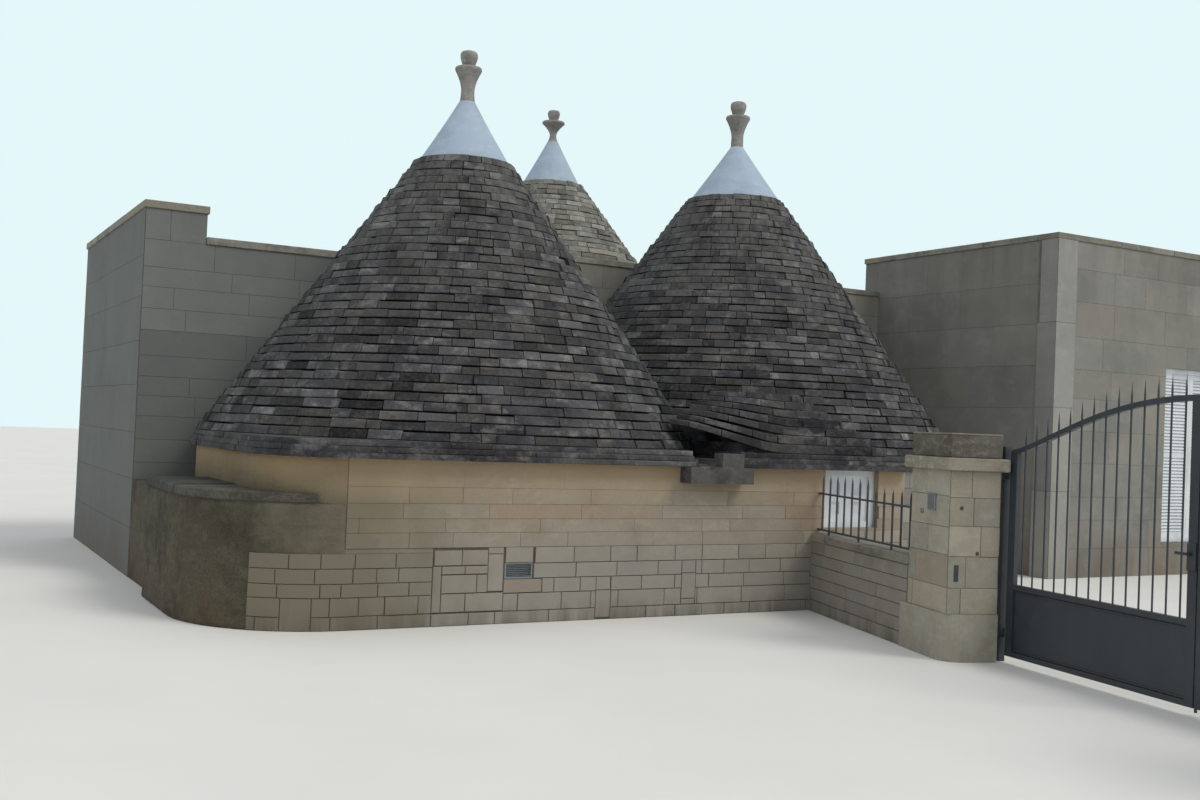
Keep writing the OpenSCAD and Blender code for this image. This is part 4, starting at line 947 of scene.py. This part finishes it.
courtWindow = (2.9049, 3.5949, 0.8, 1.4)
vent = (-0.5495, -0.2865, 0.381, 0.516)
lowStart, frontStart = -1.21, -1.96
streetFront = flatPlace((frontStart, streetY), (streetEnd, streetY))
streetCorner = joined(arcPoints(lowCornerCenter, lowCornerRadius, 232, 270, 0.06),
                      linePoints((frontStart, streetY), (lowStart, streetY)))
streetSingles = (
    (-0.711, -0.566, 0.277, 0.593, 0.4, 0.1), (0.343, 0.498, 0.016, 0.26, 0.4, 0.1),
    (1.247, 1.402, 0.157, 0.391, 0.4, 0.15), (-0.562, -0.193, 0.258, 0.376, -0.1, 1.0),
    (-1.2, -0.95, 0.5, 0.63, 0.5, 0.1), (-0.95, -0.711, 0.5, 0.63, 0.0, 0.3),
    (-1.13, -0.92, 0.427, 0.497, 0.0, 0.3), (-0.92, -0.711, 0.427, 0.497, 0.3, 0.2),
    (-1.13, -0.81, 0.27, 0.424, 0.0, 0.2), (-0.81, -0.711, 0.27, 0.424, -0.2, 0.3),
    (-1.13, -0.91, 0.113, 0.268, -0.2, 0.2), (-0.91, -0.562, 0.113, 0.268, 0.0, 0.1),
    (-1.21, -1.13, 0.113, 0.497, -0.4, 0.6))
leftFront = flatPlace((-2.99, 3.28), (-0.72, 3.28))
rearY, rearRight = 9.53, 13.5759
wingX, wingY = 8.1779, 1.105
leftWindowX, rightWindowX, sideWindowY = 4.9509, 10.7009, 2.7775
pilasterRows = (1.12, 1.08, 1.1, 1.08)
lowRows = (0.11, 0.115, 0.11, 0.115, 0.11, 0.115)

# Each wall: its seed, its stone and its runs of courses
walls = {
    "streetWallBlocks": {"seed": 71, "slot": "street_stone", "runs": (
        courses((lowStart, streetY, streetEnd, streetY), 0.0, (0.105, 0.15, 0.125, 0.13, 0.14), (0.24, 0.52),
                "clear", 0.45, 0.1, 0.2, singles=shifted(streetSingles, -lowStart), holes=shifted((vent,), -lowStart)),
        courses(pathPlace(streetCorner), 0.0, (0.11, 0.15, 0.11, 0.12, 0.12), (0.16, 0.42), "rough", 0.7, -2.0, 0.3,
                singles=((0.26, 0.5, 0.0, 0.26, 1.0, 0.0),)),
        courses(streetFront, 0.65, (0.125, 0.115, 0.125, 0.135), (0.3, 0.95), "faint", 0.4, 0.0, 0.6,
                holes=shifted((courtWindow,), -frontStart)),
        courses(streetFront, 1.15, (0.225,), (0.8, 1.5), "smooth", 0.2, 0.1, 0.7,
                holes=shifted((courtWindow,), -frontStart)),
        courses((streetEnd, streetY, streetEnd, 0.42), 0.0, (0.12, 0.16), (0.2, 0.45), top=1.375))},
    "rightTrulloBlocks": {"seed": 72, "slot": "wing_stone", "runs": (
        courses(ringPlace(rightCenter, rightRadius, -95.9, 24.6), 0.0, (0.17, 0.24), (0.3, 0.6), "curved",
                top=1.375),)},
    "leftWingBlocks": {"seed": 73, "slot": "wing_stone", "runs": (
        # painted shade and light: the lower front rows are toned darker (tint -1.4) and the upper rows lighter (2.2,
        # 2.4), as the lower front stands in deep shade
        courses(leftFront, 0.0, (0.2, 0.3), (1.0, 2.4), "panel", 0.15, -1.4, 0.1, top=2.5),
        courses(leftFront, 2.5, (0.22, 0.22, 0.2, 0.28), (0.6, 1.0), "panel", 0.5, 2.2, 0.1),
        courses((-2.99, 3.28, -2.385, 3.28), 3.42, (0.315,), (0.5, 0.62), "panel", 0.3, 2.4, 0.1),
        courses((-2.385, 3.58, -2.385, 3.28), 3.5, (0.235,), (0.3, 0.4), "panel"),
        courses((-2.99, 7.46, -2.99, 3.28), 0.0, (0.45, 0.6), (1.3, 2.6), "panel", 0.12, -1.6, 0.3, top=3.735),
        courses((1.15, 7.46, -2.69, 7.46), 0.0, (0.3, 0.42), (0.6, 1.1), "panel", 0.4, 0.0, 0.3, top=3.42),
        courses((-2.69, 7.46, -2.99, 7.46), 0.0, (0.3, 0.42), (0.3, 0.4), "panel", 0.4, 0.0, 0.3,
                top=3.735))},
    "rearBlockBlocks": {"seed": 74, "slot": "wing_stone", "runs": (
        courses((1.15, rearY, 1.15, 7.46), 0.0, (0.26, 0.36), (0.5, 1.0), "panel", 0.4, top=3.85),
        courses((1.15, 7.46, 1.15, 4.45), 3.5, (0.35,), (0.5, 1.0), "panel"),
        courses((rearRight, rearY, 1.15, rearY), 0.0, (0.24, 0.33), (0.4, 0.9), "coursed", 0.6, 0.0, 0.5,
                top=3.85, holes=(windowHole(rearRight - leftWindowX), windowHole(rearRight - rightWindowX),
                                 (rearRight - 2.875, rearRight - 1.925, 0.0, 2.15))),
        courses((1.15, 4.45, 7.8259, 4.45), 2.95, (0.3, 0.3, 0.3), (0.5, 1.0), "panel", 0.4, 0.0, 0.4,
                holes=((2.4, 3.75, 2.9, 3.9),)),
        courses((5.9, 4.45, 7.8259, 4.45), 0.0, (0.27, 0.33), (0.5, 0.9), "panel", 0.4, 0.0, 0.4,
                top=2.95, holes=((0, 0.72, 0, 1.56),)))},
    "rightWingBlocks": {"seed": 75, "slot": "wing_stone", "runs": (
        courses((wingX, wingY, rearRight, wingY), 0.0, (0.3, 0.5), (0.6, 1.15), "panel", 0.4, -0.3, 0.3,
                top=4.38, holes=(windowHole(rightWindowX - wingX),)),
        courses((7.8259, 4.45, 7.8259, 1.385), 0.0, (0.5, 0.62), (0.8, 1.3), "panel", 0.3, 0.2, 0.3,
                top=4.38),
        courses((rearRight, wingY, rearRight, 4.75), 0.0, (0.26, 0.36), (0.5, 0.95), "coursed", 0.6, 0.0, 0.5,
                top=4.38, holes=(windowHole(sideWindowY - wingY),)),
        courses((rearRight, 4.75, rearRight, rearY), 0.0, (0.26, 0.36), (0.5, 0.95), "coursed",
                0.6, 0.0, 0.5, top=3.85),
        courses((rearRight, 4.75, 7.8259, 4.75), 3.93, (0.225, 0.225), (0.6, 1.1), "panel", 0.4))},
    "pilasterStones": {"seed": 76, "slot": "pilaster_stone", "runs": (
        courses((7.8039, 1.083, 8.1779, 1.083), 0.0, pilasterRows, (0.37, 0.4), "pilaster"),
        courses((7.8039, 1.385, 7.8039, 1.083), 0.0, pilasterRows, (0.3, 0.32), "pilaster"))},
    "lowWallBlocks": {"seed": 77, "slot": "street_stone", "runs": (
        courses(flatPlace(courtPlace(0, 0), courtPlace(2.035, 0)), 0.0, lowRows, (0.35, 0.8), "low", 0.5, -1.0, 0.3),
        courses(flatPlace(courtPlace(2.05, 0.3), courtPlace(0.09, 0.3)), 0.0, lowRows, (0.35, 0.8), "plain",
                0.5, -0.8))},
}
for wallName, wall in walls.items():
    rng = random.Random(wall["seed"])
    pile = newPile()
    for run in wall["runs"]:
        faceRun(pile, wall["slot"], run, rng)
    buildPile(wallName, pile, wall["slot"])


# Piers: each side starts at a corner and has its bottom, rows and lengths; each top stone from and to along the pier,
# with how far it stands out, its two heights, bevel, shade and wobble
pierLook = {
    "width": 0.43, "length": 0.622,
    "sides": (((0, 0), 0.37, (0.205, 0.25, 0.215, 0.24, 0.2), (0.3, 0.42)),
              ((1, 0), 0.37, (0.2, 0.245, 0.235, 0.22, 0.21), (0.2, 0.3)),
              ((1, 1), 0.37, (0.205, 0.25, 0.215, 0.24, 0.2), (0.3, 0.42)),
              ((0, 1), 0.76, (0.25, 0.24, 0.23), (0.2, 0.3))),
    "tops": ((-0.055, 0.32344, 0.055, 1.48, 1.581, 0.008, (4.4, 0.4), 0.002),
             (0.32644, 0.677, 0.055, 1.48, 1.581, 0.008, (3.8, 0.4), 0.002),
             (-0.008, 0.63, 0.008, 1.582, 1.757, 0.006, (-0.5, 0.2), 0.001),
             (-0.008, 0.63, 0.008, 1.7575, 1.772, 0.004, (1.6, 0.4), 0.001)),
}
nearPier = turnedPlace(courtPlace(2.06, 0), *courtAxes)
farPier = turnedPlace((1.37964, -7.36934), (0.02791, 0.99961), (0.99961, -0.02791))
piers = ((nearPier, False), (farPier, True))  # the second one is mirrored


def buildPiers(look):
    rng = random.Random(78)
    pile = newPile()
    for pier, mirrored in piers:
        corners = [pier(look["length"] * side[0][0], look["width"] * side[0][1]) for side in look["sides"]]
        for (corner, bottom, rows, lengths), start, end in zip(look["sides"], corners, corners[1:] + corners[:1]):
            place = flatPlace(end, start) if mirrored else flatPlace(start, end)
            faceRun(pile, "pier_stone", courses(place, bottom, rows, lengths, "pier", 0.8, 0.0, 0.6), rng)
    buildPile("pierFacing", pile, "pier_stone")
    rng = random.Random(79)
    pile = newPile()
    for pier, mirrored in piers:
        start = len(pile["faces"])
        for x0, x1, over, z0, z1, bevel, shade, wobble in look["tops"]:
            addStone(pile, (x0, x1, -over, look["width"] + over, z0, z1), bevel, shade, rng, wobble, pier)
        if mirrored:
            turnFaces(pile, start)
    buildPile("pierTopStones", pile, "pier_cap_stone", nodes=("pier_caps",))


buildPiers(pierLook)
for slotName, bed in beds.items():
    piece = buildPile("mortarUnder_" + slotName, bed, slotName)
    piece.data.materials[0] = mortars[slotName]
print("walls are faced")


# Low wall's ledge under the railing, its first stone cut to the street wall
wallLedge = {"marks": (0.0, 0.72, 1.4, 2.052), "start": -0.09, "section": (-0.014, 0.312, 0.678, 0.7515),
             "joint": 0.002, "cutY": -0.352, "bevel": 0.006, "shade": (-0.6, 0.2), "wobble": 0.001}


def buildWallLedge(look):
    rng = random.Random(81)
    pile = newPile()
    for a, b in zip(look["marks"], look["marks"][1:]):
        x0 = a + look["joint"] if a else look["start"]
        box = (x0, b - look["joint"], *look["section"])
        addStone(pile, box, look["bevel"], look["shade"], rng, look["wobble"], courtPlace)
        if not a:
            pile["points"] = [(x, min(y, look["cutY"]), z) for x, y, z in pile["points"]]
    buildPile("lowWallLedge", pile, "coping_stone")


buildWallLedge(wallLedge)


# Rough masonry of the street corner, the flank and the wall above the ledge
skinLooks = {
    "cornerMasonry": {
        "path": edgePath(lowCornerCenter, lowCornerRadius, 1.9, 270), "bottom": 0.0, "top": 1.004, "rows": 5,
        "base": 0.012, "swell": 0.01, "pits": 0.012, "groove": 0.012, "seed": 3, "flat": (2.15, 0.62)},
    "flankMasonry": {
        "path": linePoints((-2.99, 3.28), (-2.99, 1.9)), "bottom": 0.0, "top": 0.985, "rows": 4,
        "base": 0.01, "swell": 0.008, "pits": 0.008, "groove": 0.01, "seed": 8},
    "upperCornerMasonry": {
        "path": joined(arcPoints(leftCenter, leftRadius, 155, 180), edgePath(cornerCenter, cornerRadius, 2.2, 270)),
        "bottom": 0.985, "top": 1.3745, "rows": 2, "base": 0.006, "swell": 0.005, "pits": 0.003, "groove": 0.004,
        "seed": 14},
}
skinShape = {"step": 0.022, "least": 0.0015, "most": 0.019, "edge": -0.002, "swellScale": (1.7, 2.6),
             "mediumScale": (6, 9), "mediumShare": 0.4, "pitScale": (17, 22), "pitGain": 1.6, "warp": 0.03,
             "warpScale": (2.2, 4), "length": 0.55, "lengthPlay": 0.2, "rowTurn": 12.9, "stagger": 0.37,
             "joint": 0.016}


def toNearest(value, size):
    return abs(value / size - round(value / size)) * size


def buildSkin(name, look, shape):
    place, length = pathPlace(look["path"])
    bottom, top, seed = look["bottom"], look["top"], look["seed"]
    wide, tall = max(2, round(length / shape["step"])), max(2, round((top - bottom) / shape["step"]))
    rowHeight = (top - bottom) / look["rows"]
    flatFrom, flatBelow = look.get("flat", (length, 0))

    def scaledNoise(scale, layer):
        return noiseAt(u * shape[scale][0], v * shape[scale][1], seed + layer)
    points = []
    for k in range(tall + 1):
        v = blend(bottom, top, k / tall)
        for i in range(wide + 1):
            u = length * i / wide
            swell = scaledNoise("swellScale", 0) + shape["mediumShare"] * scaledNoise("mediumScale", 3)
            pits = shape["pitGain"] * max(0.0, scaledNoise("pitScale", 7))
            warpV = v - bottom + shape["warp"] * noiseAt(u * shape["warpScale"][0], v, seed + 11)
            row = math.floor(warpV / rowHeight)
            warpU = u + shape["warp"] * noiseAt(v * shape["warpScale"][1], u, seed + 17) + row * shape["stagger"]
            blockLength = shape["length"] + shape["lengthPlay"] * math.sin(row * shape["rowTurn"])
            toJoint = min(toNearest(warpV, rowHeight), toNearest(warpU, blockLength))
            joint = max(0.0, 1 - toJoint / shape["joint"])
            d = look["base"] + look["swell"] * swell - look["pits"] * pits - look["groove"] * joint
            d = max(shape["least"], min(shape["most"], d))
            if u > flatFrom and v < flatBelow:
                d = shape["least"]
            points.append(place(u, v, d if min(i, wide - i, k, tall - k) else shape["edge"]))
    pile = newPile()
    addShape(pile, points, bandFaces(wide + 1, tall + 1, closed=False), (0, 0))
    buildPile(name, pile, "corner_stone", smooth=180)


for name, look in skinLooks.items():
    buildSkin(name, look, skinShape)
print("corner masonry is on")


# Paving slabs on the flat roofs: each roof's plan, height and seed
roofFloors = (((1.45, 13.2759, 4.75, 9.23), 3.53, 91), ((8.1259, 13.2759, 1.405, 4.45), 4.06, 92),
              ((-2.69, -1.02, 3.58, 7.16), 3.1, 93), ((-1.02, 1.15, 4.75, 7.16), 3.1, 94))
pavingLook = {"depths": (0.38, 0.5), "widths": (0.45, 0.8), "stagger": 0.4, "spare": 0.02, "narrowest": 0.05,
              "joint": 0.004, "sunk": 0.004, "rise": 0.012, "bevel": 0.003, "tint": 0.8, "wobble": 0.002}


def insideCone(x, y, z, margin=0.2):
    return any(z >= cone["foot"] - 0.01 and math.dist((x, y), cone["center"]) < coneRadius(cone, z) - margin
               for cone in cones.values())


def buildRoofFloors(floors, look):
    pile = newPile()
    joint, spare = look["joint"], look["spare"]
    for (x0, x1, y0, y1), z, seed in floors:
        rng = random.Random(seed)
        y = y0
        while y < y1 - spare:
            depth = min(rng.uniform(*look["depths"]), y1 - y)
            x = x0 - rng.uniform(0, look["stagger"])
            while x < x1 - spare:
                width = rng.uniform(*look["widths"])
                a, b = max(x, x0), min(x + width, x1)
                if b - a > look["narrowest"] and not insideCone((a + b) / 2, y + depth / 2, z):
                    box = (a + joint, b - joint, y + joint, y + depth - joint, z - look["sunk"], z + look["rise"])
                    shade = (tintOf(rng, look["tint"]), rng.random() ** 2)
                    addStone(pile, box, look["bevel"], shade, rng, look["wobble"])
                x += width
            y += depth
    buildPile("flatRoofSlabs", pile, "flat_roof")


buildRoofFloors(roofFloors, pavingLook)


# Louvres in the shutters: the middle of each window and the way along it
shutterPlaces = (((rightWindowX, wingY), (1, 0)), ((rightWindowX, rearY), (-1, 0)), ((leftWindowX, rearY), (-1, 0)),
                 ((rearRight, sideWindowY), (0, 1)))
louvreLook = {**wingWindow, "rail": 0.07, "frame": 0.06, "pitch": 0.043, "lift": 0.006, "face": 0.096, "lip": 0.003,
              "deep": 0.02, "thick": 0.006, "tall": 0.03}


def buildLouvres(look):
    pile = newPile()
    rail, border, face, back = look["rail"], look["frame"], look["face"], look["face"] + look["deep"]
    leaf = look["half"] - border
    panel = (look["height"] - 2 * border - 3 * rail) / 2
    count = int(panel / look["pitch"])
    for middle, along in shutterPlaces:
        start = (middle[0] - look["half"] * along[0], middle[1] - look["half"] * along[1])
        place = turnedPlace(start, along, (-along[1], along[0]))
        for side in (0, 1):
            u0 = border + side * leaf + rail
            for part in (0, 1):
                bottom = look["sill"] + border + rail + part * (panel + rail)
                for k in range(count):
                    z = bottom + panel * k / count + look["lift"]
                    section = ((face, z), (face + look["lip"], z + look["thick"]),
                               (back, z + look["tall"] + look["thick"]), (back, z + look["tall"]))
                    points = [place(u, deep, up) for u in (u0, u0 + leaf - 2 * rail) for deep, up in section]
                    faces = [(0, 4, 5, 1), (1, 5, 6, 2), (2, 6, 7, 3), (3, 7, 4, 0), (0, 1, 2, 3), (7, 6, 5, 4)]
                    addShape(pile, points, faces, (0, 0))
    buildPile("shutterLouvres", pile, "white_joinery")


buildLouvres(louvreLook)


# Small things on the near pier: door station, push button, and near-black discs and a slot that are painted shade
# inside worn holes and a slot
pierFittings = {
    "plates": (((0.3, 0.42, 1.16, 1.29), 0.022, 0.004), ((0.325, 0.395, 1.215, 1.275), 0.026, 0.002)),
    "button": (0.2, 1.14), "discs": ((0.021, 0.02), (0.012, 0.027)),
    "holes": ((0.1, 1.19, 0.017), (0.33, 1.185, 0.019), (0.245, 0.84, 0.016), (0.23, 0.5, 0.016)),
    "slot": (0.05, 0.09, 0.62, 0.75), "holeDepth": 0.008, "holeShade": (-1.2, 0),
}


def addDisc(pile, place, center, radius, depth, shade, segments=20):
    points = []
    for r, d in ((radius, 0.0), (radius, depth * 0.8), (radius * 0.88, depth)):
        points += [place(*onCircle(center, r, angle), d) for angle in fullTurn(segments)]
    addShape(pile, points, [tuple(range(2 * segments, 3 * segments))] + bandFaces(segments, 3), shade)


def buildPierFittings(look):
    corners = [nearPier(0, 0), nearPier(pierLook["length"], 0), nearPier(pierLook["length"], pierLook["width"])]
    side, front = flatPlace(*corners[:2])[0], flatPlace(*corners[1:])[0]
    rng = random.Random(97)
    station, holes = newPile(), newPile()
    for rect, depth, bevel in look["plates"]:
        addBlock(station, side, rect, (0, depth, bevel, 0, 9), rng, (0, 0))
    for radius, depth in look["discs"]:
        addDisc(station, side, look["button"], radius, depth, (0, 0))
    buildPile("doorStation", station, "grille_metal")
    # painted shade: dark raised discs and a dark slot stand for the shade inside the holes and the slot
    for u, v, radius in look["holes"]:
        addDisc(holes, front, (u, v), radius, look["holeDepth"], look["holeShade"])
    addBlock(holes, front, look["slot"], (0, look["holeDepth"], 0.002, 0, 9), rng, look["holeShade"])
    buildPile("pierHoleShade", holes, "railing_paint")


buildPierFittings(pierFittings)


# Gate leaves: the frame's own mesh with its bars drawn in to the width that the photograph shows
gates = {
    "near": {"node": "near_gate_leaf", "body": "near_leaf", "hinge": (2.50035, -3.06364), "sign": 1},
    "far": {"node": "far_gate_leaf", "body": "far_leaf", "hinge": (1.91372, -6.76747), "sign": -1},
}
leafLook = {"angle": 9, "barWidth": 0.016, "slim": 0.6, "bars": 14, "first": 0.023, "last": 1.87, "stile": 0.075,
            "above": 0.6, "play": 0.0006}


def buildLeaf(name, gate, look):
    node = frame["nodes"][gate["node"]]
    hinge = gate["hinge"]
    axes = turnedAxes(look["angle"], gate["sign"])
    place = turnedPlace(hinge, *axes)
    pitch = (look["last"] - look["first"] - 2 * look["stile"]) / (look["bars"] + 0.2)
    bars = [look["first"] + look["stile"] + pitch * (k + 0.6) for k in range(look["bars"])]
    reach = look["barWidth"] / 2 + look["play"]
    points = []
    for vertex in node.data.vertices:
        x, y, z = node.matrix_world @ vertex.co
        along, across = ((x - hinge[0]) * axis[0] + (y - hinge[1]) * axis[1] for axis in axes)
        bar = min(bars, key=lambda mark: abs(mark - along))
        if z > look["above"] and abs(along - bar) < reach and abs(across) < reach:
            x, y, z = place(blend(bar, along, look["slim"]), across * look["slim"], z)
        points.append((x, y, z))
    pile = newPile()
    addShape(pile, points, [tuple(face.vertices) for face in node.data.polygons], (0, 0))
    buildPile(name, pile, "gate_paint", body=gate["body"], nodes=(gate["node"],))


# Gate fittings: base rails, lock box and lever on the near leaf, drop bolts; each a box and its bevel
railBoxes = (((0.1, 1.79, -0.012, -0.003, 0.1, 0.112), 0.002), ((0.1, 1.79, -0.012, -0.003, 0.555, 0.567), 0.002))
lockBoxes = (((1.795, 1.868, -0.034, 0.034, 0.93, 1.11), 0.004), ((1.72, 1.84, -0.062, -0.05, 1.03, 1.05), 0.003),
             ((1.82, 1.84, -0.062, -0.03, 1.03, 1.05), 0.003))
boltBoxes = (((1.84, 1.856, 0.022, 0.038, 0.02, 0.5), 0.002),)


def buildGateFittings(name, gate, boxes):
    pile = newPile()
    place = turnedPlace(gate["hinge"], *turnedAxes(leafLook["angle"], gate["sign"]))
    for box, bevel in boxes:
        addStone(pile, box, bevel, (0, 0), move=place)
    if gate["sign"] < 0:
        turnFaces(pile, 0)
    buildPile(name, pile, "gate_paint", body=gate["body"])


for side, gate in gates.items():
    buildLeaf(side + "GateLeaf", gate, leafLook)
buildGateFittings("nearGateFittings", gates["near"], railBoxes + lockBoxes + boltBoxes)
buildGateFittings("farGateFittings", gates["far"], railBoxes + boltBoxes)
print("joinery and metal fittings are on")


# Stage: pale floor, soft light, pale background
stageLook = {"floor": (0.7, 0.69, 0.67), "mottle": (0.97, 1.02), "size": 90, "sky": (0.78, 0.93, 0.95),
             "ambient": (0.93, 0.97, 1.0), "level": 0.8, "sunLevel": 1.3, "sunColor": (1.0, 0.95, 0.86),
             "sunTilt": 42, "sunTurn": 35, "sunSize": 25}


def buildFloor(look):
    mesh = bpy.data.meshes.new("floor")
    size = look["size"]
    mesh.from_pydata([(-size, -size, 0), (size, -size, 0), (size, size, 0), (-size, size, 0)], [], [(0, 1, 2, 3)])
    addObject("floor", mesh)
    material, tree, shader = newMaterial("paleFloor")
    level = rangeNode(tree, noiseNode(tree, objectPlace(tree), 0.6, 4), 0.3, 0.7)
    low, high = (tuple(part * share for part in look["floor"]) for share in look["mottle"])
    join(tree, mixColors(tree, level, (*low, 1), (*high, 1)), shader.inputs["Base Color"])
    shader.inputs["Roughness"].default_value = 0.9
    shader.inputs["Specular IOR Level"].default_value = 0.1
    mesh.materials.append(material)


def buildSky(look):
    world = bpy.data.worlds.new("paleSky")
    scene.world = world
    world.use_nodes = True
    tree = world.node_tree
    tree.nodes.clear()
    rays = addNode(tree, "ShaderNodeLightPath").outputs
    seen = mathNode(tree, "MAXIMUM", rays["Is Camera Ray"], rays["Is Glossy Ray"], rays["Is Transmission Ray"])
    light = addNode(tree, "ShaderNodeBackground", {"Color": (*look["ambient"], 1), "Strength": look["level"]})
    shown = addNode(tree, "ShaderNodeBackground", {"Color": (*look["sky"], 1)})
    mix = addNode(tree, "ShaderNodeMixShader", {0: seen, 1: light.outputs[0], 2: shown.outputs[0]})
    addNode(tree, "ShaderNodeOutputWorld", {"Surface": mix.outputs[0]})
    sun = bpy.data.lights.new("softSun", "SUN")
    sun.energy, sun.color, sun.angle = look["sunLevel"], look["sunColor"], math.radians(look["sunSize"])
    addObject("softSun", sun).rotation_euler = (math.radians(look["sunTilt"]), 0, math.radians(look["sunTurn"]))


buildFloor(stageLook)
buildSky(stageLook)
scene.view_settings.view_transform = "Standard"
print("stage is set")
